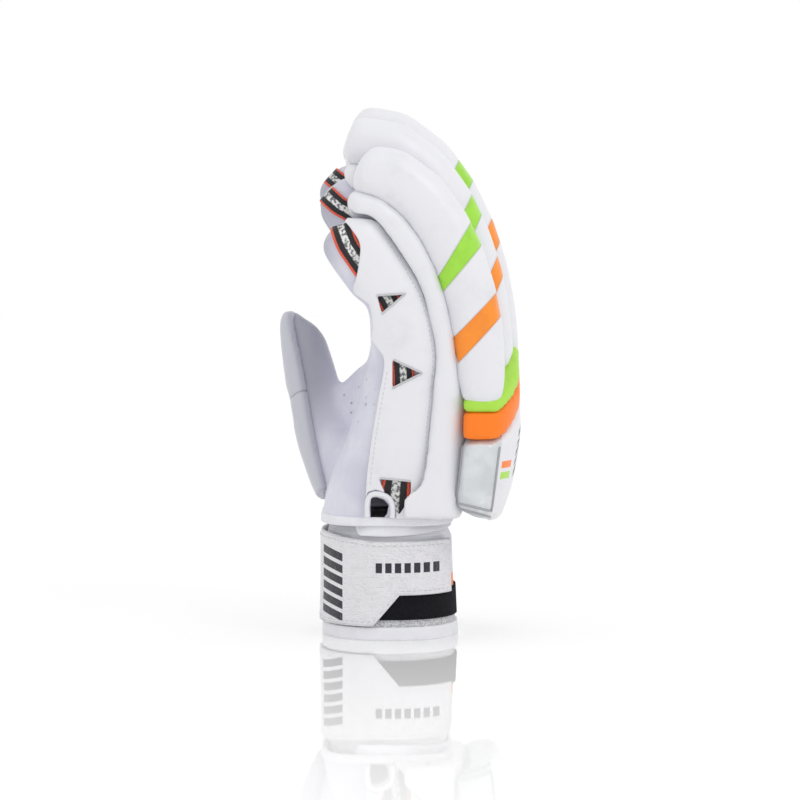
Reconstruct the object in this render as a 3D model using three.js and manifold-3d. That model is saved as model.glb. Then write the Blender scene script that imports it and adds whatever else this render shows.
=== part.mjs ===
// A left-hand cricket batting glove, standing on its cuff with its fingers half curled.
// Millimetres, +Z up. The palm faces -X and the padded back faces +X.
// The little finger is at -Y and the thumb at +Y.
import * as THREE from "three";
import { mergeVertices } from "three/addons/utils/BufferGeometryUtils.js";
import Module from "manifold-3d";

const wasm = await Module();
wasm.setup();

// Clearance between pieces, and the thickness of each layer
const GAP = 0.3;
const LEATHER = 2.2;
const PANEL = 3.6;
const TAPE = 1.0;
const HEM = 1.4;
const HEM_HEIGHT = 4;

// Leather hand
const HAND_DEPTH = 66.5;
const HAND_WIDTH = 94;
const PALM_HEIGHT = 92;
const KNUCKLE_ARCH = 6.5;
const SLIT_WIDTH = 18;
const SLIT_HEIGHT = 16;
const SLIT_RIM = 4;
const STALL_RISE = 9;
const WEB_ROOT = 31;

// Fingers and the layer of padding behind them
const FINGER_PITCH = 24.4;
const FINGER_WIDTH = 22;
const FINGER_DEPTH = 30;
const FINGER_LENGTH = 99;
const FINGER_CURL = 34;
const FINGER_TIP = 9;
const BACKING_DEPTH = 12;
const BACKING_INSET = 1.5;

// Rolls on the back of the fingers
const ROLL_PITCH = 25.9;
const ROLL_WIDTH = 25.3;
const ROLL_HEIGHT = 28;
const ROLL_LENGTH = 164;
const ROLL_TAIL = 6;
const ROLL_HOOK = 90;

// Block and bent rolls at the wrist end of the back
const BLOCK_WIDTH = 102;
const BLOCK_DEPTH = 22;
const BLOCK_ARCH = 10.5;
const BLOCK_HEIGHT = 35;
const BLOCK_CLEARANCE = 8;
const BLOCK_SLOPE = -0.42;
const ORANGE_HEIGHT = 14;
const GREEN_HEIGHT = 6.5;
const CHEVRON_RISE = 24;
const CHEVRON_FLAT = 47;

// Side panels and tapes. The side layers reach from outside the glove in to SIDE_LIMIT.
const PANEL_HEIGHT = 152;
const PANEL_ROOM = 4;
const TAPE_WIDTH = 12;
const SIDE_LIMIT = -36.2;
const INDEX_PANEL_BASE = 135;

// Thumb
const THUMB_LENGTH = 100;
const THUMB_WIDTH = 25;
const THUMB_TIP = 12;
const THUMB_PAD = 5.5;
const THUMB_STEPS = 6;
const THUMB_PAD_START = 1;
const THUMB_CUT = 4;

// Cuff
const CUFF_HEIGHT = 58;
const CUFF_DEPTH = 66;
const CUFF_WIDTH = 84;
const BAND_WALL = 2.4;
const NECK_HEIGHT = 8;
const BINDING_HEIGHT = 7.5;
const BINDING_WALL = 1.1;
const PATCH_WALL = 1.0;
const PATCH_HEIGHT = 34;
const STRAP_WALL = 1.8;
const STRAP_HEIGHT = 42;
const TAB_HEIGHT = 27;
const TAB_END = 29.7;
const STRAP_SLOPE_START = -7.3;
const STRAP_FAR_END = 16.5;
const PATCH_START = -27.7;
const PATCH_FAR_START = 6.6;

// Room past the model for cutting shapes
const BEYOND = 200;
const X_AXIS = new THREE.Vector3(1, 0, 0);
const Y_AXIS = new THREE.Vector3(0, 1, 0);
const Z_AXIS = new THREE.Vector3(0, 0, 1);

// Level sections of the palm. rise is a share of PALM_HEIGHT above the cuff, front and back are shares
// of HAND_DEPTH from the wrist's axis, width is a share of HAND_WIDTH and arch is a share of KNUCKLE_ARCH.
const PALM_SECTIONS = [
  { rise: 0.0, front: 0.47, back: 0.48, width: 0.9, arch: 0.0 },
  { rise: 0.09, front: 0.465, back: 0.46, width: 0.905, arch: 0.0 },
  { rise: 0.22, front: 0.42, back: 0.4, width: 0.94, arch: 0.1 },
  { rise: 0.4, front: 0.33, back: 0.37, width: 0.99, arch: 0.3 },
  { rise: 0.62, front: 0.26, back: 0.385, width: 1.0, arch: 0.6 },
  { rise: 0.85, front: 0.205, back: 0.39, width: 1.0, arch: 0.95 },
  { rise: 1.0, front: 0.17, back: 0.38, width: 0.985, arch: 1.0 },
];

// Fingers from the little one to the index. rise is a share of PALM_HEIGHT, root a share of HAND_DEPTH
// and reach a share of FINGER_LENGTH. For the roll, back is a share of HAND_DEPTH and roll is a share
// of ROLL_LENGTH.
const FINGERS = [
  { name: "little", rise: 0.88, root: 0.135, reach: 0.78, back: 0.715, roll: 0.86 },
  { name: "ring", rise: 0.91, root: 0.195, reach: 0.97, back: 0.79, roll: 0.96 },
  { name: "middle", rise: 0.92, root: 0.21, reach: 1.02, back: 0.84, roll: 1.0 },
  { name: "index", rise: 0.89, root: 0.17, reach: 0.95, back: 0.765, roll: 0.95 },
];

// A finger's lean along it, as a share of FINGER_CURL, and its depth as a share of FINGER_DEPTH
const FINGER_BENDS = [
  { along: 0.0, lean: 0.08, depth: 1.0 },
  { along: 0.2, lean: 0.28, depth: 1.0 },
  { along: 0.4, lean: 0.65, depth: 0.98 },
  { along: 0.6, lean: 1.0, depth: 0.96 },
  { along: 1.0, lean: 1.0, depth: 0.9 },
];

// A roll's lean along it, as a share of ROLL_HOOK, and its height as a share of ROLL_HEIGHT
const ROLL_BENDS = [
  { along: 0.0, lean: 0.03, height: 0.76 },
  { along: 0.15, lean: 0.07, height: 0.9 },
  { along: 0.3, lean: 0.125, height: 0.95 },
  { along: 0.5, lean: 0.25, height: 0.98 },
  { along: 0.62, lean: 0.34, height: 1.0 },
  { along: 0.73, lean: 0.46, height: 1.03 },
  { along: 0.84, lean: 0.63, height: 1.03 },
  { along: 0.93, lean: 0.83, height: 0.98 },
  { along: 1.0, lean: 1.0, height: 0.88 },
];

// Stations up the thumb, as shares of THUMB_LENGTH, and its thickness as a share of THUMB_WIDTH
const THUMB_STATIONS = [
  { up: 0.02, forward: 0.14, outward: 0.2, thickness: 1.2 },
  { up: 0.22, forward: 0.235, outward: 0.34, thickness: 1.2 },
  { up: 0.45, forward: 0.31, outward: 0.46, thickness: 1.1 },
  { up: 0.67, forward: 0.36, outward: 0.545, thickness: 1.0 },
  { up: 0.87, forward: 0.4, outward: 0.6, thickness: 0.86 },
];

// Sections of the web from the palm out to the thumb, as shares of PALM_HEIGHT
const WEB_SECTIONS = [
  { out: 0.0, level: 0.56, height: 0.34, thickness: 0.14 },
  { out: 0.45, level: 0.52, height: 0.28, thickness: 0.13 },
  { out: 1.0, level: 0.46, height: 0.2, thickness: 0.11 },
];

// Edges of the side panel. rise is a share of its height, palm and back are shares of HAND_DEPTH.
const PANEL_EDGES = [
  { rise: 0.0, palm: -0.16, back: 0.31 },
  { rise: 0.12, palm: -0.149, back: 0.315 },
  { rise: 0.26, palm: -0.111, back: 0.328 },
  { rise: 0.4, palm: -0.058, back: 0.36 },
  { rise: 0.525, palm: 0.003, back: 0.385 },
  { rise: 0.59, palm: -0.06, back: 0.37 },
  { rise: 0.65, palm: -0.13, back: 0.335 },
  { rise: 0.73, palm: -0.15, back: 0.295 },
  { rise: 0.8, palm: -0.2, back: 0.225 },
  { rise: 0.87, palm: -0.33, back: 0.132 },
  { rise: 0.94, palm: -0.42, back: 0.03 },
  { rise: 1.0, palm: -0.42, back: -0.11 },
];

// The middle of the tape under the side panel, in the same shares as the panel's edges
const TAPE_MIDDLE = [
  { rise: 0.0, x: 0.06 },
  { rise: 0.1, x: 0.07 },
  { rise: 0.3, x: 0.1 },
  { rise: 0.5, x: 0.115 },
  { rise: 0.65, x: 0.08 },
  { rise: 0.75, x: 0.005 },
  { rise: 0.85, x: -0.12 },
  { rise: 0.93, x: -0.235 },
  { rise: 0.985, x: -0.32 },
];

// Three corners of each window, in the same shares as the panel's edges
const WINDOWS = [
  { x1: -0.055, rise1: 0.138, x2: 0.179, rise2: 0.13, x3: 0.09, rise3: 0.022 },
  { x1: 0.045, rise1: 0.545, x2: 0.045, rise2: 0.445, x3: 0.275, rise3: 0.495 },
  { x1: -0.08, rise1: 0.755, x2: 0.155, rise2: 0.76, x3: -0.04, rise3: 0.685 },
  { x1: -0.375, rise1: 0.97, x2: -0.19, rise2: 0.93, x3: -0.225, rise3: 0.82 },
];

// Level sections of the block and bent rolls on the back. rise is a share of BLOCK_HEIGHT above the block's
// lower edge, set is how far its middle lies behind the wrist's axis, as a share of HAND_DEPTH, and depth is
// a share of BLOCK_DEPTH.
const BLOCK_SECTIONS = [
  { rise: 0.0, set: 0.64, depth: 0.7, width: 0.95, arch: 0.55 },
  { rise: 0.1, set: 0.65, depth: 0.84, width: 0.985, arch: 0.65 },
  { rise: 0.55, set: 0.685, depth: 0.95, width: 1.0, arch: 0.85 },
  { rise: 1.05, set: 0.715, depth: 1.0, width: 1.0, arch: 1.0 },
  { rise: 2.6, set: 0.718, depth: 1.0, width: 1.0, arch: 1.0 },
];

// The padding over the back of the palm. rise is a share of PALM_HEIGHT, and front and back are shares
// of HAND_DEPTH.
const BACK_SECTIONS = [
  { rise: 0.0, front: 0.0, back: 0.545, width: 1.0, arch: 1 },
  { rise: 0.05, front: 0.0, back: 0.52, width: 1.0, arch: 1 },
  { rise: 0.2, front: 0.0, back: 0.505, width: 1.0, arch: 1 },
  { rise: 0.45, front: 0.0, back: 0.52, width: 1.0, arch: 1 },
  { rise: 0.7, front: 0.0, back: 0.55, width: 1.0, arch: 1 },
  { rise: 1.0, front: 0.0, back: 0.5, width: 0.97, arch: 1 },
];

// Level sections of the cuff. rise is a share of CUFF_HEIGHT, and front and back are shares of CUFF_DEPTH
// from its axis.
const CUFF_SECTIONS = [
  { rise: 0.0, front: 0.475, back: 0.53, width: 1.0 },
  { rise: 0.45, front: 0.465, back: 0.512, width: 0.985 },
  { rise: 0.88, front: 0.465, back: 0.498, width: 0.98 },
  { rise: 0.97, front: 0.425, back: 0.435, width: 0.92 },
  { rise: 1.2, front: 0.42, back: 0.42, width: 0.92 },
];

// Interpolates every column of a table whose rows are in the order of key
function rowAt(table, key, value) {
  let upper = table.findIndex((row) => row[key] >= value);
  if (upper === -1) upper = table.length - 1;
  const high = table[upper];
  const low = table[Math.max(upper - 1, 0)];
  const span = high[key] - low[key];
  const share = span > 0 ? THREE.MathUtils.clamp((value - low[key]) / span, 0, 1) : 0;
  return Object.fromEntries(Object.keys(high).map((k) => [k, low[k] + (high[k] - low[k]) * share]));
}

// A closed geometry over rings of points, capped at both ends
function skin(rings) {
  const sides = rings[0].length;
  const points = rings.flat();
  const faces = [];
  for (let i = 0; i < rings.length - 1; i++) {
    for (let j = 0; j < sides; j++) {
      const k = (j + 1) % sides;
      const low = i * sides;
      const high = low + sides;
      faces.push(low + j, low + k, high + k, low + j, high + k, high + j);
    }
  }
  for (const end of [0, rings.length - 1]) {
    const middle = new THREE.Vector3();
    rings[end].forEach((p) => middle.addScaledVector(p, 1 / sides));
    points.push(middle);
    for (let j = 0; j < sides; j++) {
      const a = end * sides + j;
      const b = end * sides + ((j + 1) % sides);
      faces.push(points.length - 1, end ? a : b, end ? b : a);
    }
  }
  return new THREE.BufferGeometry().setFromPoints(points).setIndex(faces);
}

// A closed three.js geometry as a solid for cutting and joining
function solid(geometry) {
  const bare = geometry.clone();
  bare.deleteAttribute("normal");
  bare.deleteAttribute("uv");
  const merged = mergeVertices(bare, 1e-4);
  return new wasm.Manifold(
    new wasm.Mesh({
      numProp: 3,
      vertProperties: merged.attributes.position.array,
      triVerts: new Uint32Array(merged.index.array),
    }),
  );
}

const joined = (solids) => solids.reduce((a, b) => a.add(b));

// A tube over stations, each {at, across, up, halfAcross, halfUp, arch}. Its end may be rounded.
// Its sections are rounded rectangles, and an arch bows them along the across direction.
function tube(stations, { grow = 0, squareness = 2.8, sides = 12, endRound = 0 } = {}) {
  const section = (s, ahead, size) =>
    Array.from({ length: sides }, (_, i) => {
      const turn = (2 * Math.PI * (i + 0.5)) / sides;
      const c = Math.sign(Math.cos(turn)) * Math.abs(Math.cos(turn)) ** (2 / squareness) * size;
      const v = Math.sign(Math.sin(turn)) * Math.abs(Math.sin(turn)) ** (2 / squareness) * size;
      return s.at
        .clone()
        .addScaledVector(s.across.clone().cross(s.up).normalize(), ahead)
        .addScaledVector(s.across, (s.halfAcross + grow) * c + (s.arch ?? 0) * (1 - v * v))
        .addScaledVector(s.up, (s.halfUp + grow) * v);
    });
  const rings = stations.map((s) => section(s, 0, 1));
  const parts = endRound ? [0.5, 0.9] : [];
  for (const part of parts) {
    rings.push(section(stations.at(-1), (endRound + grow) * part, Math.sqrt(1 - part ** 2.3)));
  }
  return solid(skin(rings));
}

// Stations of a path that starts upright and leans towards the palm by a table's lean column
function leaningPath(start, length, fullLean, table, steps) {
  const fine = 8;
  const at = start.clone();
  const path = [];
  for (let i = 0; i <= steps * fine; i++) {
    const row = rowAt(table, "along", i / (steps * fine));
    const lean = THREE.MathUtils.degToRad(fullLean * row.lean);
    const across = new THREE.Vector3(Math.cos(lean), 0, Math.sin(lean));
    if (i % fine === 0) path.push({ at: at.clone(), across, up: Y_AXIS, row });
    at.x -= (Math.sin(lean) * length) / (steps * fine);
    at.z += (Math.cos(lean) * length) / (steps * fine);
  }
  return path;
}

// Level stations of a table with rise, front, back and width columns
function levelStations(sections, depth, width, height, base, arch = 0) {
  return sections.map((s) => ({
    at: new THREE.Vector3(((s.back - s.front) / 2) * depth, 0, base + s.rise * height),
    across: X_AXIS,
    up: Y_AXIS,
    halfAcross: ((s.front + s.back) / 2) * depth,
    halfUp: (s.width / 2) * width,
    arch: (s.arch ?? 0) * arch,
  }));
}

// An outline in X and Z, pushed through from one Y to another
function sidePrism(points, from, to) {
  const shape = new THREE.Shape(points.map(([x, z]) => new THREE.Vector2(x, z)));
  return solid(
    new THREE.ExtrudeGeometry(shape, { depth: to - from, bevelEnabled: false })
      .rotateX(Math.PI / 2)
      .translate(0, to, 0),
  );
}

// A box between two corners
function block([x1, y1, z1], [x2, y2, z2]) {
  const box = new THREE.BoxGeometry(x2 - x1, y2 - y1, z2 - z1);
  return solid(box.translate((x1 + x2) / 2, (y1 + y2) / 2, (z1 + z2) / 2));
}

const layer = (from, to) => block([-BEYOND, -BEYOND, from], [BEYOND, BEYOND, to]);

// The leather hand is made grown or shrunk by a distance, and a hollow inside it has fewer sides.
const sidesFor = (grow, full) => (grow < 0 ? Math.round(full * 0.35) * 2 : full);

function palm(grow, below = 0) {
  const first = { ...PALM_SECTIONS[0], rise: -below / PALM_HEIGHT };
  const sections = below ? [first, ...PALM_SECTIONS] : PALM_SECTIONS;
  const stations = levelStations(sections, HAND_DEPTH, HAND_WIDTH, PALM_HEIGHT, CUFF_HEIGHT, KNUCKLE_ARCH);
  return tube(stations, { grow, squareness: 3.4, sides: sidesFor(grow, 18), endRound: 7 });
}

const spread = (index, pitch) => (index - (FINGERS.length - 1) / 2) * pitch;

function fingerStations(index) {
  const f = FINGERS[index];
  const level = CUFF_HEIGHT + f.rise * PALM_HEIGHT;
  const root = new THREE.Vector3(f.root * HAND_DEPTH, spread(index, FINGER_PITCH), level);
  const path = leaningPath(root, f.reach * FINGER_LENGTH - FINGER_TIP, FINGER_CURL, FINGER_BENDS, 4);
  return path.map((p) => ({ ...p, halfAcross: (p.row.depth * FINGER_DEPTH) / 2, halfUp: FINGER_WIDTH / 2 }));
}

function finger(index, grow) {
  const stations = fingerStations(index);
  const first = stations[0];
  const root = {
    ...first,
    at: first.at.clone().addScaledVector(Z_AXIS, -FINGER_WIDTH / 2),
    halfAcross: first.halfAcross * 0.8,
    halfUp: first.halfUp * 0.85,
  };
  const sides = sidesFor(grow, 12);
  return tube([root, ...stations], { grow, squareness: 2.6, sides, endRound: FINGER_TIP });
}

// The side of the thumb that its pads cover
const NAIL = new THREE.Vector3(-0.6, 0.8, 0);

function thumbStations() {
  const rows = THUMB_STATIONS.map((s, i) => ({ ...s, share: i / (THUMB_STATIONS.length - 1) }));
  const base = new THREE.Vector3(0, 0, CUFF_HEIGHT + NECK_HEIGHT);
  const points = rows.map((s) => new THREE.Vector3(-s.forward, s.outward, s.up).multiplyScalar(THUMB_LENGTH));
  const curve = new THREE.CatmullRomCurve3(points.map((p) => p.add(base)));
  return Array.from({ length: THUMB_STEPS + 1 }, (_, i) => {
    const share = i / THUMB_STEPS;
    const at = curve.getPoint(share);
    const along = curve.getTangent(share);
    const up = along.clone().cross(NAIL).normalize();
    const across = up.clone().cross(along);
    const half = (rowAt(rows, "share", share).thickness * THUMB_WIDTH) / 2;
    return { at, along, across, up, halfAcross: half, halfUp: half };
  });
}

function thumb(grow) {
  return tube(thumbStations(), { grow, squareness: 2.3, sides: sidesFor(grow, 12), endRound: THUMB_TIP });
}

function web(grow) {
  const end = thumbStations()[3].at;
  const start = new THREE.Vector3(0, WEB_ROOT, 0);
  const outwards = new THREE.Vector3(end.x - start.x, end.y - start.y, 0);
  const stations = WEB_SECTIONS.map((s) => ({
    at: start.clone().addScaledVector(outwards, s.out).setZ(CUFF_HEIGHT + s.level * PALM_HEIGHT),
    across: Z_AXIS,
    up: outwards.clone().normalize().cross(Z_AXIS),
    halfAcross: s.height * PALM_HEIGHT,
    halfUp: s.thickness * PALM_HEIGHT,
  }));
  return tube(stations, { grow, squareness: 2.2, sides: sidesFor(grow, 12) });
}

function hand(grow, below) {
  return joined([palm(grow, below), ...FINGERS.map((_, i) => finger(i, grow)), thumb(grow), web(grow)]);
}

const handClear = hand(GAP);
const handShell = hand(0).subtract(hand(-LEATHER, NECK_HEIGHT));

// Where the stalls and the thumb part from the palm
const stallBase = CUFF_HEIGHT + PALM_HEIGHT + STALL_RISE;

function stallZone(index, from) {
  const y = spread(index, FINGER_PITCH);
  return block([-BEYOND, y - FINGER_PITCH / 2, from], [BEYOND, y + FINGER_PITCH / 2, BEYOND * 2]);
}

// Everything past a station of the thumb, from a distance ahead of it
function pastThumb(station, ahead) {
  const s = thumbStations()[station];
  const box = new THREE.BoxGeometry(1.8 * THUMB_WIDTH, 1.8 * THUMB_WIDTH, THUMB_LENGTH);
  box.translate(0, 0, THUMB_LENGTH / 2 + ahead);
  return solid(box.applyMatrix4(new THREE.Matrix4().makeBasis(s.across, s.up, s.along).setPosition(s.at)));
}

// Outlines on the little-finger side
const panelBase = CUFF_HEIGHT + HEM_HEIGHT;
const panelPoint = (x, rise) => [x * HAND_DEPTH, panelBase + rise * PANEL_HEIGHT];

function panelOutline(grow = 0) {
  const palmEdge = PANEL_EDGES.map((s) => panelPoint(s.palm, s.rise)).map(([x, z]) => [x - grow, z]);
  const backEdge = PANEL_EDGES.map((s) => panelPoint(s.back, s.rise)).map(([x, z]) => [x + grow, z]);
  const [topX, topZ] = panelPoint(-0.3, 1.012);
  return [...palmEdge, [topX, topZ + grow], ...backEdge.reverse()];
}

function stripOutline(points, width) {
  const curve = new THREE.SplineCurve(points.map(([x, z]) => new THREE.Vector2(x, z)));
  const steps = points.length;
  const edge = (way) =>
    Array.from({ length: steps + 1 }, (_, i) => {
      const p = curve.getPoint(i / steps);
      const t = curve.getTangent(i / steps);
      return [p.x - (way * t.y * width) / 2, p.y + (way * t.x * width) / 2];
    });
  return [...edge(1), ...edge(-1).reverse()];
}

function slitOutline(inset) {
  const [x, z] = panelPoint(-0.06, 0);
  const arch = new THREE.EllipseCurve(x, z, SLIT_WIDTH / 2 - inset, SLIT_HEIGHT - inset, 0, Math.PI);
  return arch.getPoints(8).map((p) => [p.x, p.y]);
}

const tapePoints = TAPE_MIDDLE.map((s) => panelPoint(s.x, s.rise));
const tapeZone = (grow) => sidePrism(stripOutline(tapePoints, TAPE_WIDTH + 2 * grow), -BEYOND, SIDE_LIMIT);
const slit = (inset, to) => sidePrism(slitOutline(inset), -BEYOND, to);
const panelLayer = hand(GAP + PANEL);

function sidePanel() {
  const windows = WINDOWS.map((w) => {
    const corners = [panelPoint(w.x1, w.rise1), panelPoint(w.x2, w.rise2), panelPoint(w.x3, w.rise3)];
    return sidePrism(corners, -BEYOND, SIDE_LIMIT);
  });
  return panelLayer
    .intersect(sidePrism(panelOutline(), -BEYOND, SIDE_LIMIT))
    .subtract(handClear)
    .subtract(tapeZone(GAP).intersect(hand(GAP * 2 + TAPE)))
    .subtract(joined(windows))
    .subtract(slit(-GAP, SIDE_LIMIT));
}

function sideTape() {
  return hand(GAP + TAPE).intersect(tapeZone(0)).subtract(handClear).subtract(slit(-GAP, SIDE_LIMIT));
}

function indexPanel() {
  const stations = fingerStations(3);
  const palmEdge = stations.map((s) => s.at.clone().addScaledVector(s.across, -s.halfAcross * 0.7));
  const backEdge = stations.map((s) => s.at.clone().addScaledVector(s.across, s.halfAcross * 1.02));
  const outline = [...palmEdge, ...backEdge.reverse()].map((p) => [p.x, p.z]);
  return panelLayer.intersect(sidePrism(outline, -SIDE_LIMIT, BEYOND)).subtract(handClear);
}

function fingerTape(index) {
  const stations = fingerStations(index).slice(2);
  const middle = stations.map((s) => s.at.clone().addScaledVector(s.across, -s.halfAcross * 0.35));
  const outline = stripOutline(middle.map((p) => [p.x, p.z]), TAPE_WIDTH);
  const y = spread(index, FINGER_PITCH);
  return finger(index, GAP + TAPE)
    .intersect(sidePrism(outline, y - FINGER_PITCH / 2 - 1, y - FINGER_WIDTH * 0.3))
    .subtract(finger(index, GAP));
}

// The block and the bent rolls are one form, parted by cuts that rise to the middle of the back
const blockBase = CUFF_HEIGHT + BLOCK_CLEARANCE;
const chevronBase = blockBase + BLOCK_HEIGHT;
const rollBase = chevronBase + ORANGE_HEIGHT + GREEN_HEIGHT + GAP;

function blockForm() {
  const slope = new THREE.Vector3(1, 0, BLOCK_SLOPE);
  const stations = BLOCK_SECTIONS.map((s) => ({
    at: new THREE.Vector3(s.set * HAND_DEPTH, 0, blockBase + s.rise * BLOCK_HEIGHT),
    across: s.rise < 1 ? slope : X_AXIS,
    up: Y_AXIS,
    halfAcross: (s.depth * BLOCK_DEPTH) / 2,
    halfUp: (s.width * BLOCK_WIDTH) / 2,
    arch: s.arch * BLOCK_ARCH,
  }));
  return tube(stations, { squareness: 5, sides: 24 });
}

function chevron(from, to) {
  const bend = (z) => [
    [-BEYOND, z],
    [-CHEVRON_FLAT, z],
    [0, z + CHEVRON_RISE],
    [CHEVRON_FLAT, z],
    [BEYOND, z],
  ];
  const outline = [...bend(from), ...bend(to).reverse()].map(([y, z]) => new THREE.Vector2(y, z));
  const prism = new THREE.ExtrudeGeometry(new THREE.Shape(outline), { depth: 2 * BEYOND, bevelEnabled: false });
  prism.translate(0, 0, -BEYOND);
  return solid(prism.applyMatrix4(new THREE.Matrix4().makeBasis(Y_AXIS, Z_AXIS, X_AXIS)));
}

// The roll on a finger's back, and the padding under it, which follows the same bends further in
function rollStations(index) {
  const f = FINGERS[index];
  const start = new THREE.Vector3(f.back * HAND_DEPTH, spread(index, ROLL_PITCH), rollBase);
  const path = leaningPath(start, f.roll * ROLL_LENGTH, ROLL_HOOK, ROLL_BENDS, 8);
  const tail = { ...path[0], at: path[0].at.clone().addScaledVector(Z_AXIS, -ROLL_TAIL) };
  return [tail, ...path];
}

function roll(index) {
  const stations = rollStations(index).map((s) => ({
    ...s,
    halfAcross: (s.row.height * ROLL_HEIGHT) / 2,
    halfUp: ROLL_WIDTH / 2,
  }));
  return tube(stations, { squareness: 3.2, sides: 12, endRound: 6 });
}

function backing(index, grow) {
  const inwards = ROLL_HEIGHT / 2 + BACKING_DEPTH / 2 - BACKING_INSET;
  const stations = rollStations(index).map((s) => ({
    ...s,
    at: s.at.clone().addScaledVector(s.across, -inwards),
    halfAcross: BACKING_DEPTH / 2 + 1,
    halfUp: ROLL_WIDTH / 2 - GAP,
  }));
  return tube(stations.slice(1), { grow, squareness: 4, sides: 8, endRound: 5 });
}

function backPad(grow) {
  const stations = levelStations(BACK_SECTIONS, HAND_DEPTH, BLOCK_WIDTH, PALM_HEIGHT, panelBase, BLOCK_ARCH);
  const slab = tube(stations, { grow, squareness: 5, sides: 16 });
  return joined([slab, ...FINGERS.map((_, i) => backing(i, grow))]);
}

// The cuff's surface, grown by a distance, between two heights
function cuff(grow, from = -BEYOND, to = BEYOND) {
  const stations = levelStations(CUFF_SECTIONS, CUFF_DEPTH, CUFF_WIDTH, CUFF_HEIGHT, 0);
  const under = { ...stations[0], at: stations[0].at.clone().setZ(-BINDING_HEIGHT) };
  return tube([under, ...stations], { grow, squareness: 2.2, sides: 20 }).intersect(layer(from, to));
}

function wristBand() {
  const clearance = palm(GAP).subtract(palm(-LEATHER - GAP, NECK_HEIGHT));
  const outside = cuff(0, BINDING_WALL + GAP, CUFF_HEIGHT + NECK_HEIGHT);
  return outside.subtract(cuff(-BAND_WALL)).subtract(clearance);
}

function cuffBinding() {
  const inner = cuff(-BAND_WALL - GAP - BINDING_WALL);
  const groove = cuff(GAP, BINDING_WALL).subtract(cuff(-BAND_WALL - GAP));
  return cuff(GAP + BINDING_WALL, 0, BINDING_HEIGHT).subtract(inner).subtract(groove);
}

const strapBase = BINDING_HEIGHT + GAP;
const strapTop = strapBase + STRAP_HEIGHT;
const tabBase = strapTop - TAB_HEIGHT;

function patchZone(grow) {
  const top = strapBase + PATCH_HEIGHT + grow;
  return joined([
    block([PATCH_START - grow, -BEYOND, strapBase - grow], [BEYOND, 0, top]),
    block([PATCH_FAR_START - grow, -1, strapBase - grow], [BEYOND, BEYOND, top]),
  ]);
}

function strapPatch() {
  return cuff(GAP + PATCH_WALL).intersect(patchZone(0)).subtract(cuff(GAP));
}

function wristStrap() {
  const slope = STRAP_HEIGHT - TAB_HEIGHT;
  const near = sidePrism(
    [
      [-BEYOND, strapBase],
      [STRAP_SLOPE_START, strapBase],
      [STRAP_SLOPE_START + slope, tabBase],
      [TAB_END, tabBase],
      [TAB_END, strapTop],
      [-BEYOND, strapTop],
    ],
    -BEYOND,
    0,
  );
  const far = block([-BEYOND, -1, strapBase], [STRAP_FAR_END, BEYOND, strapTop]);
  const patchRoom = cuff(GAP * 2 + PATCH_WALL).intersect(patchZone(GAP));
  const outside = cuff(GAP * 2 + PATCH_WALL + STRAP_WALL);
  return outside.intersect(near.add(far)).subtract(patchRoom).subtract(cuff(GAP));
}

function bodyHem() {
  return palm(GAP + HEM).subtract(palm(GAP, NECK_HEIGHT)).intersect(layer(CUFF_HEIGHT, panelBase - GAP));
}

function slitBinding() {
  return hand(GAP + PANEL + HEM)
    .intersect(slit(0, SIDE_LIMIT))
    .subtract(slit(SLIT_RIM, 0))
    .subtract(handClear);
}

// A pad on the back of the thumb, between two of its stations
function thumbPad(from, to) {
  const stations = thumbStations().map((s) => ({
    ...s,
    at: s.at.clone().addScaledVector(s.across, THUMB_PAD),
  }));
  const form = tube(stations, { squareness: 2.5, endRound: THUMB_TIP - 2 }).subtract(handClear);
  const start = form.intersect(pastThumb(from, GAP / 2));
  return to ? start.subtract(pastThumb(to, -GAP / 2)) : start;
}

const group = new THREE.Group();

function add(name, made, color, roughness = 0.55, metalness = 0) {
  const { vertProperties, triVerts } = made.getMesh();
  const geometry = new THREE.BufferGeometry();
  geometry.setAttribute("position", new THREE.BufferAttribute(vertProperties, 3));
  geometry.setIndex(new THREE.BufferAttribute(triVerts, 1));
  geometry.computeVertexNormals();
  const mesh = new THREE.Mesh(geometry, new THREE.MeshStandardMaterial({ color, roughness, metalness }));
  mesh.name = name;
  group.add(mesh);
}

const LEATHER_COLOR = 0xd5d6e2;
const WHITE = 0xeeeef2;
const BLACK = 0x18181c;

const padClear = backPad(GAP);
const panelClear = sidePrism(panelOutline(GAP), -BEYOND, SIDE_LIMIT).intersect(hand(GAP + PANEL + PANEL_ROOM));
const indexClear = hand(GAP * 2 + PANEL).intersect(
  block([-BEYOND, -SIDE_LIMIT, INDEX_PANEL_BASE], [BEYOND, BEYOND, BEYOND * 2]),
);

// The leather, with its stalls and thumb parted from the palm
const parted = handShell.subtract(pastThumb(THUMB_CUT, 0)).subtract(slit(SLIT_RIM, SIDE_LIMIT));
const palmBody = FINGERS.reduce((made, _, i) => made.subtract(stallZone(i, stallBase)), parted);
add("palm_body", palmBody, LEATHER_COLOR);
FINGERS.forEach((f, i) => {
  add(`stall_${f.name}`, handShell.intersect(stallZone(i, stallBase + GAP)), LEATHER_COLOR);
});
add("thumb_stall", handShell.intersect(pastThumb(THUMB_CUT, GAP)), LEATHER_COLOR);

// The sides and their tapes
add("side_panel", sidePanel(), WHITE, 0.4);
add("side_tape", sideTape(), BLACK, 0.8);
[1, 2, 3].forEach((i) => add(`tape_${FINGERS[i].name}`, fingerTape(i), BLACK, 0.8));
add("index_panel", indexPanel(), WHITE, 0.4);
add("slit_binding", slitBinding(), WHITE, 0.6);

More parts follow.
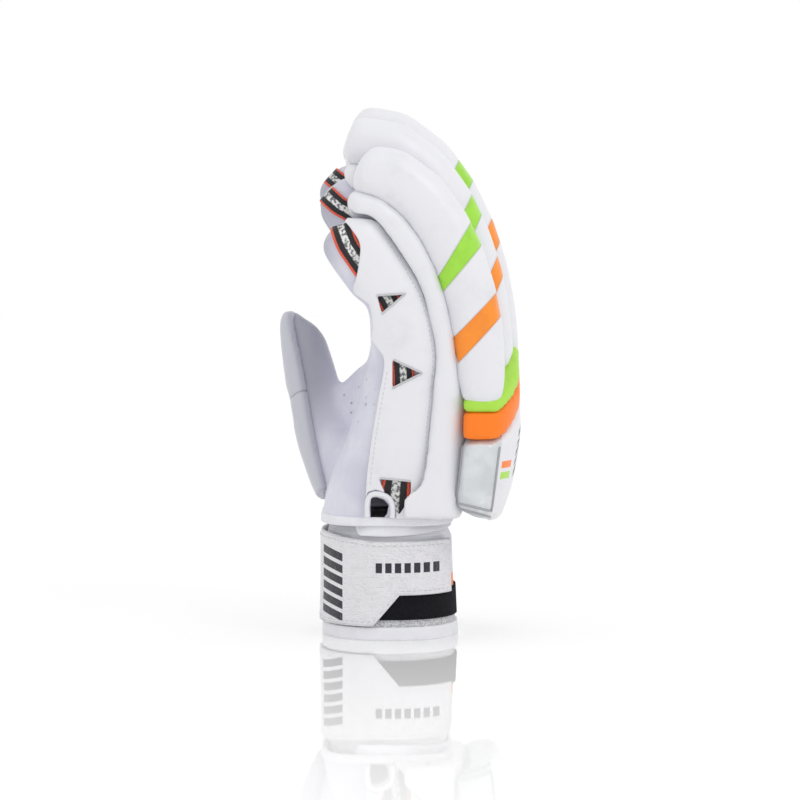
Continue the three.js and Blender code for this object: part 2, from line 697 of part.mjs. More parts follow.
// The padding on the back
const backSolid = backPad(0).subtract(joined([handClear, panelClear, indexClear]));
add("back_pad", backSolid, WHITE, 0.4);
const rollZone = chevron(rollBase, BEYOND * 2).subtract(joined([padClear, handClear, panelClear]));
FINGERS.forEach((f, i) => add(`roll_${f.name}`, roll(i).intersect(rollZone), WHITE, 0.4));
const blockSolid = blockForm().subtract(padClear);
const orangeTop = chevronBase + ORANGE_HEIGHT;
add("wrist_block", blockSolid.intersect(chevron(-BEYOND, chevronBase - GAP)), 0xc4c9ce, 0.3, 0.4);
add("chevron_orange", blockSolid.intersect(chevron(chevronBase, orangeTop - GAP)), 0xff7d14, 0.4);
add("chevron_green", blockSolid.intersect(chevron(orangeTop, orangeTop + GREEN_HEIGHT)), 0x9bd030, 0.4);
add("thumb_pad_base", thumbPad(THUMB_PAD_START, THUMB_CUT), WHITE, 0.4);
add("thumb_pad_tip", thumbPad(THUMB_CUT), WHITE, 0.4);

// The cuff
add("body_hem", bodyHem(), 0xc8c8ce, 0.6);
add("wrist_band", wristBand(), 0xe4e4e8, 0.9);
add("cuff_binding", cuffBinding(), 0xf0f0f2, 0.7);
add("strap_patch", strapPatch(), BLACK, 0.9);
add("wrist_strap", wristStrap(), 0xececf0, 0.6);

// The glove stands on its binding, in the middle of its own box.
const bounds = new THREE.Box3().setFromObject(group);
const centre = bounds.getCenter(new THREE.Vector3());
group.position.set(-centre.x, -centre.y, -bounds.min.z);

export default group;
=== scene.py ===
import math

import bmesh
import bpy
from mathutils import Matrix, Vector
from mathutils.bvhtree import BVHTree


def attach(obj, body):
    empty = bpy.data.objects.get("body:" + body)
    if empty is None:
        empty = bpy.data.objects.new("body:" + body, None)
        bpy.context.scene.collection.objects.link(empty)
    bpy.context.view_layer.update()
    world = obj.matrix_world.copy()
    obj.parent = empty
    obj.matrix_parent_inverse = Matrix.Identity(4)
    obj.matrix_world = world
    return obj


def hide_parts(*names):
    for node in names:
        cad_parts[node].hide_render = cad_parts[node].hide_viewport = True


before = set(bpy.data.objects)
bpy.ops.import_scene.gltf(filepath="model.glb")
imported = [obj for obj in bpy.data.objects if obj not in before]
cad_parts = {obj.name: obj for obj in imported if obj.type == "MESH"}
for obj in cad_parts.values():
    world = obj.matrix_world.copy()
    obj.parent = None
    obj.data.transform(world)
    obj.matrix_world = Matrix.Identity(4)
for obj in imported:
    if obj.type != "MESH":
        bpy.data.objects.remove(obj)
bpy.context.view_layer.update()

MM = 0.001
X_AXIS = Vector((1, 0, 0))
Y_AXIS = Vector((0, 1, 0))
Z_AXIS = Vector((0, 0, 1))

# Middle of the wrist, and how far the side view's own X lies from the glove's
WRIST_X = -6.41
WRIST_Y = -12.05
VIEW_X = 0.89

# The view of the photograph, from a little above the floor. Its own zero lies off the picture's middle
VIEW_WIDTH = 407.6
PHOTO_WIDTH = 405.6
PHOTO_MIDDLE = (-0.507, 122.2)
VIEW_DISTANCE = 2500.0
VIEW_RISE = math.radians(4)
VIEW_MIDDLE = Vector((0.38, 0.0, 116.9))
VIEW_BACK = Vector((0, -math.cos(VIEW_RISE), math.sin(VIEW_RISE)))
VIEW_UP = Vector((0, math.sin(VIEW_RISE), math.cos(VIEW_RISE)))
VIEW_FROM = VIEW_MIDDLE + VIEW_BACK * VIEW_DISTANCE

# Leather, sewn layers and stitching
LEATHER_WALL = 2.0
LAYER_GAP = 0.3
PANEL_WALL = 3.6
TAPE_WALL = 1.0
TAPE_LIFT = 0.2
TAPE_WIDTH = 10.9
TAPE_WIDENING = 3.8
TAPE_WIDENS_BELOW = 97
TAPE_WIDENS_OVER = 20
TAPE_ROOM_WIDER = 0.8
TAPE_ROOM_DEEPER = 1.0
TAPE_ROOM_SINK = 0.3
FINGER_TAPE_WALL = 0.9
FINGER_TAPE_WIDTH = 9.6
FINGER_TAPE_REACH = 14
HAND_FOOT = 58.3
HAND_VOXEL = 1.3
STRAP_STITCH = {"radius": 0.24, "length": 2.2}
STRAP_STITCH_PITCH = 3.6
PANEL_STITCH = {"radius": 0.2, "length": 1.7}
PANEL_STITCH_PITCH = 2.6
WINDOW_CORD = 0.55
BLOCK_CORD = 0.65
LOOP_CORD = 1.35

# Cloth simulation of the padded pieces
CUSHION_PRESSURE = 4.0
CUSHION_FRAMES = 20

# Pairs of depths between which work is done along the camera's rays
WHOLE_GLOVE = (-90.0, 80.0)
NEAR_HALF = (-90.0, -30.0)
PANEL_DEPTHS = (-80.0, -45.0)
WINDOW_DEPTHS = (-80.0, -40.0)
SLIT_DEPTHS = (-80.0, -36.0)
RAY_START = -120.0
TAPE_DEPTHS = (RAY_START, -42.0)
MOST_LAYERS = 8

# Cuff
CUFF_HEIGHT = 58.0
CUFF_DEPTH = 66.0
CUFF_WIDTH = 84.0
CUFF_SQUARENESS = 2.2
BINDING_SQUASH = 0.88
STRAP_LOW = 7.2
STRAP_HIGH = 49.8
TAB_LOW = 22.8
TAB_END = 24.4
SLOPE_START = -14.2
SLOPE_END = -1.0
FULL_TURN = 2 * math.pi
HEM_START = -22.5
HEM_END_TURN = FULL_TURN + 1.2
HEM_TOP = 59.5
HEM_WALL = 1.4
HEM_PUFF = 0.9
PATCH_LOW = 10.3
PATCH_HIGH = 41.5
PATCH_STEP = 24.6
PATCH_STEP_X = 16
PATCH_STEP_LENGTH = 4
PATCH_START = -26
PATCH_END_TURN = FULL_TURN + 1.35
PATCH_WALL = 0.9
STRAP_START_TURN = 1.25
STRAP_WALL = 1.6
STRAP_OUT = 1.3
STRAP_RISE = 2.6
STRAP_RISE_X = -14
STRAP_RISE_LENGTH = 22
STITCH_INSET = 2.2
STITCH_OUT = 2.95
BAND_LOW = 1.4
BAND_HIGH = 60.2
BAND_WALL = 2.4

# Level sections of the cuff, with rise a share of its height and front and back shares of its depth
CUFF_SECTIONS = [
    {"rise": 0.0, "front": 0.475, "back": 0.53, "width": 1.0},
    {"rise": 0.45, "front": 0.465, "back": 0.512, "width": 0.985},
    {"rise": 0.88, "front": 0.465, "back": 0.498, "width": 0.98},
    {"rise": 0.97, "front": 0.425, "back": 0.435, "width": 0.92},
    {"rise": 1.2, "front": 0.42, "back": 0.42, "width": 0.92},
]

# Colours, as linear red, green and blue
WHITE = (0.765, 0.765, 0.80)
LEATHER = (0.60, 0.60, 0.70)
LEATHER_LIGHT = (0.70, 0.70, 0.78)
GREEN = (0.34, 0.72, 0.045)
ORANGE = (0.94, 0.27, 0.012)
BLOCK_GREEN = (0.40, 0.72, 0.07)
BLOCK_ORANGE = (0.96, 0.21, 0.012)
SILVER_DARK = (0.59, 0.61, 0.63)
SILVER = (0.69, 0.71, 0.73)
SEAM_SHADE = (0.35, 0.35, 0.38)
NAVY = (0.022, 0.022, 0.035)
BLACK = (0.008, 0.008, 0.011)
TAPE_EDGE = (0.78, 0.10, 0.05)
TAPE_DARK = (0.16, 0.16, 0.17)
TAPE_LIGHT = (0.78, 0.78, 0.76)
LEATHER_SOIL = (0.50, 0.49, 0.60)
# Painted shade for the thumb and the palm beside it, where the lamp doesn't reach
PAINTED_THUMB_SHADE = (0.31, 0.31, 0.37)
# Painted shade inside the perforations
PAINTED_HOLE_SHADE = (0.16, 0.15, 0.2)
# Painted shade: the thumb pads' white padding, darkened as if in shadow
THUMB_PAD_PAINTED_SHADE = (0.51, 0.51, 0.57)
STRAP_WHITE = (0.80, 0.79, 0.82)
# Grey flecks of the strap's cloth, also used as painted shade on the tab
STRAP_FLECK_AND_SHADE = (0.62, 0.60, 0.65)
TOWEL_DARK = (0.42, 0.42, 0.45)
TOWEL_LIGHT = (0.82, 0.82, 0.85)
RIB_DARK = (0.66, 0.66, 0.72)
RIB_LIGHT = (0.84, 0.84, 0.88)
PILE_LIGHT = (0.03, 0.03, 0.036)
THREAD_WHITE = (0.66, 0.66, 0.70)
SILVER_THREAD = (0.60, 0.60, 0.62)
PIPING_GREY = (0.40, 0.40, 0.43)
BINDING_WHITE = (0.80, 0.80, 0.84)
FULL_WHITE = (1, 1, 1, 1)

# Floor and lamp, with places and sizes in metres
FLOOR_HALF = 3.0
FLOOR_MIRROR = 0.54
MIRROR_GONE = -950
MIRROR_FULL = -30
LAMP_PLACE = (0.9, -1.0, 1.2)
LAMP_AIM = (0.0, 0.0, 0.13)
LAMP_SIZE = 0.5
LAMP_POWER = 3


class Reading:
    """A value over a surface. Sums and products of readings add Math nodes."""

    def __init__(self, finish, socket):
        self.finish = finish
        self.socket = socket

    def worked(self, operation, *values):
        return self.finish.node("ShaderNodeMath", {"operation": operation}, values)

    def __add__(self, other):
        return self.worked("ADD", self, other)

    def __sub__(self, other):
        return self.worked("SUBTRACT", self, other)

    def __rsub__(self, other):
        return self.worked("SUBTRACT", other, self)

    def __mul__(self, other):
        return self.worked("MULTIPLY", self, other)

    def __abs__(self):
        return self.worked("ABSOLUTE", self)

    __radd__ = __add__
    __rmul__ = __mul__


class Finish:
    """A material made of nodes, with its place on the glove read in millimetres."""

    def __init__(self, name, roughness=0.5, **constants):
        self.material = bpy.data.materials.new(name)
        self.material.use_nodes = True
        self.tree = self.material.node_tree
        self.surface = self.tree.nodes["Principled BSDF"]
        self.surface.inputs["Roughness"].default_value = roughness
        for socket, value in constants.items():
            self.surface.inputs[socket.replace("_", " ")].default_value = value
        self.normal = None
        coordinates = self.node("ShaderNodeTexCoord", output="Object")
        self.place = self.node("ShaderNodeVectorMath", {"operation": "SCALE"}, {0: coordinates, "Scale": 1 / MM})
        self.x = self.node("ShaderNodeSeparateXYZ", {}, [self.place], "X")
        self.y = self.node("ShaderNodeSeparateXYZ", {}, [self.place], "Y")
        self.z = self.node("ShaderNodeSeparateXYZ", {}, [self.place], "Z")

    def node(self, kind, settings=None, values=(), output=0):
        made = self.tree.nodes.new(kind)
        for name, setting in (settings or {}).items():
            setattr(made, name, setting)
        for key, value in values.items() if isinstance(values, dict) else enumerate(values):
            self.feed(made.inputs[key], value)
        return Reading(self, made.outputs[output])

    def feed(self, socket, value):
        if isinstance(value, Reading):
            self.tree.links.new(value.socket, socket)
        else:
            socket.default_value = value

    def noise(self, size, detail=3.0, roughness=0.5, stretch=None, distortion=0.0):
        place = self.place
        if stretch:
            place = self.node("ShaderNodeVectorMath", {"operation": "MULTIPLY"}, [place, stretch])
        values = {"Vector": place, "Scale": 1 / size, "Detail": detail, "Roughness": roughness}
        return self.node("ShaderNodeTexNoise", {}, {**values, "Distortion": distortion})

    def cells(self, size, randomness=1.0):
        values = {"Vector": self.place, "Scale": 1 / size, "Randomness": randomness}
        return self.node("ShaderNodeTexVoronoi", {"feature": "F1"}, values)

    def rise(self, value, low, high):
        values = {"Value": value, "From Min": low, "From Max": high}
        return self.node("ShaderNodeMapRange", {"interpolation_type": "SMOOTHSTEP"}, values)

    def span(self, value, start, full, fading, end):
        """1 from one value to another, with a soft edge on both sides."""
        return self.rise(value, start, full) * (1 - self.rise(value, fading, end))

    def mix(self, first, second, share):
        sockets = {0: share, 6: tuple_color(first), 7: tuple_color(second)}
        return self.node("ShaderNodeMix", {"data_type": "RGBA"}, sockets, 2)

    def uv(self):
        """The piece's own map, as two readings."""
        made = self.node("ShaderNodeTexCoord", output="UV")
        return [self.node("ShaderNodeSeparateXYZ", {}, [made], axis) for axis in "XY"]

    def relief(self, height, distance, strength=1.0):
        """Raises the surface by a height from 0 to 1 times a distance."""
        values = {"Height": height, "Distance": distance * MM, "Strength": strength}
        if self.normal:
            values["Normal"] = self.normal
        self.normal = self.node("ShaderNodeBump", {}, values, "Normal")
        self.feed(self.surface.inputs["Normal"], self.normal)

    def paint(self, color, roughness=None, **others):
        self.feed(self.surface.inputs["Base Color"], color)
        if roughness is not None:
            self.feed(self.surface.inputs["Roughness"], roughness)
        for socket, value in others.items():
            self.feed(self.surface.inputs[socket.replace("_", " ")], value)
        return self.material

    def side_of(self, start, end):
        """How far a point of the side view lies to the left of a line, in millimetres."""
        (x1, z1), (x2, z2) = start, end
        length = math.hypot(x2 - x1, z2 - z1)
        across = [(z1 - z2) / length, (x2 - x1) / length]
        return self.x * across[0] + self.z * across[1] - ((x1 + VIEW_X) * across[0] + z1 * across[1])

    def within(self, lines):
        """1 where a point is to the left of every line, and the distance to the nearest one."""
        soft = 0.15
        sides = [self.side_of(*line) for line in lines]
        nearest = sides[0]
        for side in sides[1:]:
            nearest = nearest.worked("MINIMUM", nearest, side)
        return self.rise(nearest, -soft, soft), nearest


def tuple_color(value):
    return value if isinstance(value, Reading) else (*value, 1.0)


def clamped(value):
    return min(max(value, 0), 1)


# Meshes
def taken(*nodes):
    """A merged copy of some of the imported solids."""
    bm = bmesh.new()
    for node in nodes:
        bm.from_mesh(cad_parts[node].data)
    bmesh.ops.remove_doubles(bm, verts=bm.verts, dist=0.01 * MM)
    return bm


def placed(name, bm):
    mesh = bpy.data.meshes.new(name)
    bm.to_mesh(mesh)
    bm.free()
    mesh.shade_smooth()
    made = bpy.data.objects.new(name, mesh)
    bpy.context.scene.collection.objects.link(made)
    return made


def settle(piece, kind, **settings):
    """Runs one modifier on a piece and keeps the result as its mesh."""
    modifier = piece.modifiers.new(kind, kind)
    for key, value in settings.items():
        setattr(modifier, key, value)
    graph = bpy.context.evaluated_depsgraph_get()
    mesh = bpy.data.meshes.new_from_object(piece.evaluated_get(graph), depsgraph=graph)
    piece.modifiers.clear()
    piece.data = mesh
    mesh.shade_smooth()
    return piece


def swollen(piece, distance):
    return settle(piece, "DISPLACE", strength=distance * MM, mid_level=0.0)


def softened(piece, voxel, rounds, swell=0.0):
    """Rebuilds a piece as an even skin, rounds off its corners and fills it out again."""
    settle(piece, "REMESH", mode="VOXEL", voxel_size=voxel * MM)
    settle(piece, "SMOOTH", factor=0.5, iterations=rounds)
    return swollen(piece, swell) if swell else piece


def inflated(piece, voxel, slack, most):
    """Blows a padded piece up like a stitched cushion, with no point moving more than a limit."""
    settle(piece, "REMESH", mode="VOXEL", voxel_size=voxel * MM)
    settle(piece, "SMOOTH", factor=0.5, iterations=4)
    swollen(piece, -slack)
    rest = [v.co.copy() for v in piece.data.vertices]
    cloth = piece.modifiers.new("cloth", "CLOTH")
    cloth.settings.quality = 6
    cloth.settings.use_pressure = True
    cloth.settings.uniform_pressure_force = CUSHION_PRESSURE
    cloth.settings.effector_weights.gravity = 0
    cloth.point_cache.frame_start = 1
    cloth.point_cache.frame_end = CUSHION_FRAMES
    for number in range(1, CUSHION_FRAMES + 1):
        bpy.context.scene.frame_set(number)
    graph = bpy.context.evaluated_depsgraph_get()
    mesh = bpy.data.meshes.new_from_object(piece.evaluated_get(graph), depsgraph=graph)
    for v, start in zip(mesh.vertices, rest):
        moved = v.co - start
        if moved.length > most * MM:
            v.co = start + moved.normalized() * most * MM
    piece.modifiers.clear()
    piece.data = mesh
    bpy.context.scene.frame_set(1)
    return settle(piece, "SUBSURF", levels=1, render_levels=1)


def stretched(piece, by=2.4, drop=0.0, hang=92.0):
    """Moves a piece's palm side towards the palm and its foot down, leaving its back where it is."""
    back, across, below = 60.0, 29.0, 30.0
    for v in piece.data.vertices:
        v.co.x -= by * MM * clamped((back - v.co.x / MM) / across)
        v.co.z -= drop * MM * clamped((hang - v.co.z / MM) / below)
    return piece


def twin(piece, name):
    made = bpy.data.objects.new(name, piece.data.copy())
    bpy.context.scene.collection.objects.link(made)
    return made


def cut(piece, tool, operation="DIFFERENCE"):
    """Cuts a piece with another closed one, which is used up."""
    settle(piece, "BOOLEAN", object=tool, operation=operation, solver="MANIFOLD")
    bpy.data.objects.remove(tool)
    return piece


def seen(x, z, y):
    """The point at a depth that the camera sees at a place in the photograph, all in millimetres."""
    scale = VIEW_WIDTH / PHOTO_WIDTH
    aim = VIEW_MIDDLE + (X_AXIS * (x - PHOTO_MIDDLE[0]) + VIEW_UP * (z - PHOTO_MIDDLE[1])) * scale
    return VIEW_FROM.lerp(aim, (y - VIEW_FROM.y) / (aim.y - VIEW_FROM.y))


def prism(points, depths=WHOLE_GLOVE):
    """All that lies behind an outline in the photograph, between two depths."""
    front, back = depths
    bm = bmesh.new()
    bm.faces.new([bm.verts.new(seen(x, z, front)) for x, z in points])
    grown = bmesh.ops.extrude_face_region(bm, geom=bm.faces[:])["geom"]
    for v in grown:
        if isinstance(v, bmesh.types.BMVert):
            v.co = VIEW_FROM + (v.co - VIEW_FROM) * ((back - VIEW_FROM.y) / (front - VIEW_FROM.y))
    bmesh.ops.scale(bm, verts=bm.verts, vec=(MM, MM, MM))
    bmesh.ops.recalc_face_normals(bm, faces=bm.faces)
    return placed("tool", bm)


def tree_of(piece):
    bm = bmesh.new()
    bm.from_mesh(piece.data)
    made = BVHTree.FromBMesh(bm)
    bm.free()
    return made


def smooth_path(points, spacing):
    """Evenly spaced points on a smooth line through given ones, which is first drawn in fine steps."""
    steps = 24
    points = [Vector(p) for p in points]
    fine = []
    for i in range(len(points) - 1):
        a, b, c, d = points[max(i - 1, 0)], points[i], points[i + 1], points[min(i + 2, len(points) - 1)]
        for k in range(steps):
            t = k / steps
            square, cube = 2 * a - 5 * b + 4 * c - d, 3 * b - a - 3 * c + d
            fine.append(0.5 * (2 * b + (c - a) * t + square * t**2 + cube * t**3))
    fine.append(points[-1])
    total = sum((fine[i + 1] - fine[i]).length for i in range(len(fine) - 1))
    count = max(2, round(total / spacing))
    made, walked, goal = [fine[0]], 0.0, total / count
    for i in range(len(fine) - 1):
        step = (fine[i + 1] - fine[i]).length
        while step and walked + step >= goal and len(made) < count:
            made.append(fine[i].lerp(fine[i + 1], (goal - walked) / step))
            goal += total / count
        walked += step
    made.append(fine[-1])
    return made


def hit_behind(surface, x, z, y, end_y=math.inf):
    """Where the camera's ray through a place in the photograph meets a surface between two depths."""
    origin = seen(x, z, y) * MM
    way = (origin - VIEW_FROM * MM).normalized()
    for _ in range(MOST_LAYERS):
        hit, normal, _, _ = surface.ray_cast(origin, way)
        if hit is None or hit.y > end_y * MM:
            return None, None
        if normal.dot(way) < 0:
            return hit, normal
        origin = hit + way * 0.05 * MM
    return None, None


def traced(surface, points, spacing, lift=0.0):
    """A line of the photograph laid on a surface, as pairs of a point and the surface's normal."""
    found = []
    for p in smooth_path([(x, z, 0) for x, z in points], spacing):
        hit, normal = hit_behind(surface, p.x, p.y, RAY_START)
        if hit:
            found.append((hit + normal * lift * MM, normal))
    return found


def cord_along(name, points, radius):
    """A round cord through points that are in metres, as a mesh."""
    curve = bpy.data.curves.new(name, "CURVE")
    curve.dimensions = "3D"
    curve.bevel_depth = radius * MM
    curve.bevel_resolution = 2
    curve.use_fill_caps = True
    spline = curve.splines.new("POLY")
    spline.points.add(len(points) - 1)
    for point, at in zip(spline.points, points):
        point.co = (*at, 1)
    holder = bpy.data.objects.new(name + "_line", curve)
    bpy.context.scene.collection.objects.link(holder)
    graph = bpy.context.evaluated_depsgraph_get()
    mesh = bpy.data.meshes.new_from_object(holder.evaluated_get(graph), depsgraph=graph)
    bpy.data.objects.remove(holder)
    mesh.shade_smooth()
    made = bpy.data.objects.new(name, mesh)
    bpy.context.scene.collection.objects.link(made)
    return made


def stitched(name, lines, radius, length):
    """Rows of stitches. Each line is a list of pairs of a point and the surface's normal."""
    bm = bmesh.new()
    for line in lines:
        for i in range(len(line) - 1):
            (at, normal), (ahead, _) = line[i], line[i + 1]
            along = (ahead - at).normalized()
            side = normal.cross(along).normalized()
            turn = Matrix((along, side, along.cross(side))).transposed().to_4x4()
            size = Matrix.Diagonal((length / 2 * MM, radius * MM, radius * MM, 1))
            place = Matrix.Translation(at) @ turn @ size
            bmesh.ops.create_icosphere(bm, subdivisions=1, radius=1, matrix=place)
    return placed(name, bm)


def piped(name, surface, lines, radius, lift, spacing):
    """Round cords laid on a surface along lines of the photograph, as one mesh."""
    ways = [[at for at, _ in traced(surface, line, spacing, lift=lift)] for line in lines]
    return joined(name, [cord_along(name, way, radius) for way in ways])


def joined(name, pieces):
    bm = bmesh.new()
    for piece in pieces:
        bm.from_mesh(piece.data)
        bpy.data.objects.remove(piece)
    return placed(name, bm)


def ribbon(name, surface, points, width, wall, depths=TAPE_DEPTHS, lift=TAPE_LIFT, between=None):
    """A flat tape laid on a surface along a line of the photograph. Its map runs across it, then along it.

    width gives its width at a height, and between its depth where it is caught between two fingers.
    """
    across, spacing = 12, 1.5
    line = smooth_path([(x, z, 0) for x, z in points], spacing)
    bm = bmesh.new()
    bm.loops.layers.uv.new("map")
    made = bmesh.ops.create_grid(bm, x_segments=across, y_segments=len(line) - 1, size=0.5, calc_uvs=True)
    crosswise = {}
    for v in made["verts"]:
        crosswise.setdefault(round((v.co.y + 0.5) * (len(line) - 1)), []).append(v)
    missed = []
    for i, row in crosswise.items():
        ahead = line[min(i + 1, len(line) - 1)] - line[max(i - 1, 0)]
        side = Vector((-ahead.y, ahead.x, 0)).normalized() * width(line[i].y)
        places = [line[i] + side * v.co.x for v in row]
        hits = [hit_behind(surface, at.x, at.y, *depths) for at in places]
        found = [hit.y / MM for hit, _ in hits if hit]
        if len(found) < len(row) / 2 and between is None:
            missed += row
            continue
        for v, at, (hit, normal) in zip(row, places, hits):
            if hit is None and between is not None:
                hit, normal = seen(at.x, at.y, between) * MM, -Y_AXIS
            elif hit is None:
                hit, normal, _, _ = surface.find_nearest(seen(at.x, at.y, max(found)) * MM)
            v.co = hit + normal * lift * MM
    bmesh.ops.delete(bm, geom=missed, context="VERTS")
    bmesh.ops.recalc_face_normals(bm, faces=bm.faces)
    if sum(f.normal.y for f in bm.faces) > 0:
        bmesh.ops.reverse_faces(bm, faces=bm.faces)
    return settle(placed(name, bm), "SOLIDIFY", thickness=wall * MM, offset=1.0)


def row_at(table, key, value):
    """Every column of a table at a value of one of them."""
    upper = next((i for i, row in enumerate(table) if row[key] >= value), len(table) - 1)
    high, low = table[upper], table[max(upper - 1, 0)]
    span = high[key] - low[key]
    share = clamped((value - low[key]) / span) if span else 0
    return {name: low[name] + (high[name] - low[name]) * share for name in high}


def cuff_point(turn, z, out=0.0):
    """A point round the cuff, with turn in radians from the back towards the thumb."""
    row = row_at(CUFF_SECTIONS, "rise", z / CUFF_HEIGHT)
    half_x = (row["front"] + row["back"]) / 2 * CUFF_DEPTH + out
    half_y = row["width"] / 2 * CUFF_WIDTH + out
    middle = WRIST_X + (row["back"] - row["front"]) / 2 * CUFF_DEPTH
    power = 2 / CUFF_SQUARENESS
    c, s = math.cos(turn), math.sin(turn)
    x = middle + math.copysign(abs(c) ** power, c) * half_x
    y = WRIST_Y + math.copysign(abs(s) ** power, s) * half_y
    return Vector((x * MM, y * MM, z * MM))


def sleeve(name, start, end, low, high, wall, out, rows=10, columns=140, puff=None):
    """Cloth round the cuff between two turns. low and high give its edges' heights at a turn."""
    bm = bmesh.new()
    bm.loops.layers.uv.new("map")
    made = bmesh.ops.create_grid(bm, x_segments=columns, y_segments=rows, size=0.5, calc_uvs=True)
    for v in made["verts"]:
        u, w = v.co.x + 0.5, v.co.y + 0.5
        turn = start + (end - start) * u
        z = low(turn) + (high(turn) - low(turn)) * w
        v.co = cuff_point(turn, z, out + (puff(turn, w) if puff else 0.0))
    if abs(end - start) >= FULL_TURN:
        bmesh.ops.remove_doubles(bm, verts=bm.verts, dist=0.01 * MM)
    bmesh.ops.recalc_face_normals(bm, faces=bm.faces)
    first = bm.faces[:][0]
    middle = Vector((WRIST_X * MM, WRIST_Y * MM, first.calc_center_median().z))
    if first.normal.dot(first.calc_center_median() - middle) < 0:
        bmesh.ops.reverse_faces(bm, faces=bm.faces)
    return settle(placed(name, bm), "SOLIDIFY", thickness=wall * MM, offset=1.0)


def finished(piece, material, slot, *nodes, fill=None):
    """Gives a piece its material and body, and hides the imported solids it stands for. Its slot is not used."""
    piece.data.materials.clear()
    piece.data.materials.append(material)
    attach(piece, "root")
    if nodes:
        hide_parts(*nodes)
    return piece


# Finishes
def leather_finish():
    f = Finish("pale_leather", 0.5, Sheen_Weight=0.12, Specular_IOR_Level=0.35)
    tone = f.noise(26, 3, 0.55)
    color = f.mix(LEATHER, LEATHER_LIGHT, f.rise(tone, 0.35, 0.7))
    soil = f.rise(f.noise(7, 5, 0.65), 0.55, 0.8) * 0.22
    color = f.mix(color, LEATHER_SOIL, soil)
    # Painted shade over the thumb: the leather darkens from a height of 84 mm up, and more towards the palm's side past
    # X -26
    painted_thumb_shade = f.rise(f.z, 84, 128) * (1 - f.rise(f.x, -44, -26)) * 0.9
    color = f.mix(color, PAINTED_THUMB_SHADE, painted_thumb_shade)
    # Perforations: the dots mark the real holes, and the dark colour laid in them is painted shade inside the holes
    dot = 1 - f.rise(f.cells(4.2, randomness=0.3), 0.13, 0.17)
    holes = dot * f.span(f.z, 106, 110, 131, 134) * f.span(f.x, -31, -27, -15, -11)
    color = f.mix(color, PAINTED_HOLE_SHADE, holes * 0.6)
    f.relief(f.noise(14, 2, 0.5, distortion=0.6), 1.1, 0.55)
    f.relief(f.cells(1.0), 0.12, 0.5)
    f.relief(1 - holes, 0.5, 0.8)
    return f.paint(color, f.noise(5, 3) * 0.16 + 0.44)


def coated(name, color, rough=0.34, **constants):
    """Smooth coated leather over foam in one colour."""
    f = Finish(name, rough, Coat_Roughness=0.3, **constants)
    shade = f.mix(color, [c * 0.86 for c in color], f.rise(f.noise(18, 4, 0.6), 0.5, 0.85) * 0.6)
    f.relief(f.noise(11, 3, 0.5, distortion=0.8), 0.9, 0.25)
    f.relief(f.cells(0.7), 0.05, 0.35)
    return f, shade


def white_finish(name="white_padding", color=WHITE):
    f, shade = coated(name, color)
    return f.paint(shade, f.noise(4, 3) * 0.14 + 0.3, Coat_Weight=f.noise(9) * 0.2)


def striped_roll_finish(name, green, orange):
    """White with a green and an orange band let in. Each band is a list of lines of the side view."""
    f, shade = coated(name, WHITE)
    seam = None
    for lines, color in ((green, GREEN), (orange, ORANGE)):
        inside, nearest = f.within(lines)
        deep = [c * 0.8 for c in color]
        shade = f.mix(shade, f.mix(color, deep, f.rise(f.noise(9, 2), 0.4, 0.7) * 0.5), inside)
        line = 1 - f.rise(abs(nearest), 0.1, 0.55)
        seam = line if seam is None else seam.worked("MAXIMUM", seam, line)
    f.relief(1 - seam, 0.35, 0.8)
    shade = f.mix(shade, SEAM_SHADE, seam * 0.25)
    return f.paint(shade, f.noise(4, 3) * 0.14 + 0.3, Coat_Weight=f.noise(9) * 0.2)


def block_finish():
    """Silver sides, and a white back with a plain mark of slanted bars."""
    f, white = coated("silver_padding", WHITE)
    sheen = f.noise(15, 3, 0.5, distortion=0.5)
    silver = f.mix(SILVER_DARK, SILVER, f.rise(sheen, 0.35, 0.65))
    back = f.rise(f.side_of((51.6, 110), (44.6, 60)), -0.2, 0.2)
    color = f.mix(silver, white, back)
    off = abs(f.y - WRIST_Y)
    lean = f.z + off * 0.48
    bars = 1 - f.rise(abs(lean.worked("PINGPONG", lean - 82.5, 5.0) - 2.5), 1.5, 1.7)
    zone = (1 - f.rise(off, 26, 26.3)) * f.span(lean, 92.5, 92.8, 117.3, 117.6) * back
    color = f.mix(color, NAVY, bars * zone)
    ends = f.span(off, 33, 33.3, 44, 44.3) * back
    color = f.mix(color, BLOCK_ORANGE, ends * f.span(f.z, 86.5, 86.8, 90, 90.3))
    color = f.mix(color, BLOCK_GREEN, ends * f.span(f.z, 81, 81.3, 84.5, 84.8))
    f.relief(f.noise(6, 3, 0.6, stretch=(1.0, 1.0, 1.8), distortion=1.0) * (1 - back), 1.0, 0.4)
    return f.paint(color, f.noise(3, 3) * 0.12 + 0.26, Metallic=(1 - back) * 0.35)


def tape_finish():
    f = Finish("striped_tape", 0.6)
    across, along = f.uv()
    off = abs(across - 0.5)
    thread = f.noise(0.7, 2)
    silver = f.mix(TAPE_DARK, TAPE_LIGHT, f.rise(f.noise(1.5, 3), 0.42, 0.56))
    color = f.mix(silver, BLACK, f.rise(off + thread * 0.06, 0.15, 0.2))
    color = f.mix(color, TAPE_EDGE, f.rise(off + thread * 0.05, 0.4, 0.44))
    f.relief(f.noise(0.9, 3), 0.3, 0.8)
    return f.paint(color, f.noise(2, 2) * 0.2 + 0.5)


def cloth_finish(name, color, weave, bump, dark, crinkle=0.0):
    """Woven cloth, read from the piece's own place."""
    f = Finish(name, 0.8, Sheen_Weight=0.25, Sheen_Roughness=0.5)
    tone = f.rise(f.noise(12, 4, 0.6), 0.3, 0.8)
    shade = f.mix(color, [c * dark for c in color], tone * 0.7)
    round_thread = f.z * (FULL_TURN / weave)
    threads = round_thread.worked("SINE", round_thread) * 0.25 + f.noise(weave, 2) * 0.75
    if crinkle:
        f.relief(f.noise(5.5, 4, 0.6, stretch=(1.0, 1.0, 1.6), distortion=1.4), 1.4, crinkle)
    f.relief(threads, bump, 0.8)
    return f, shade


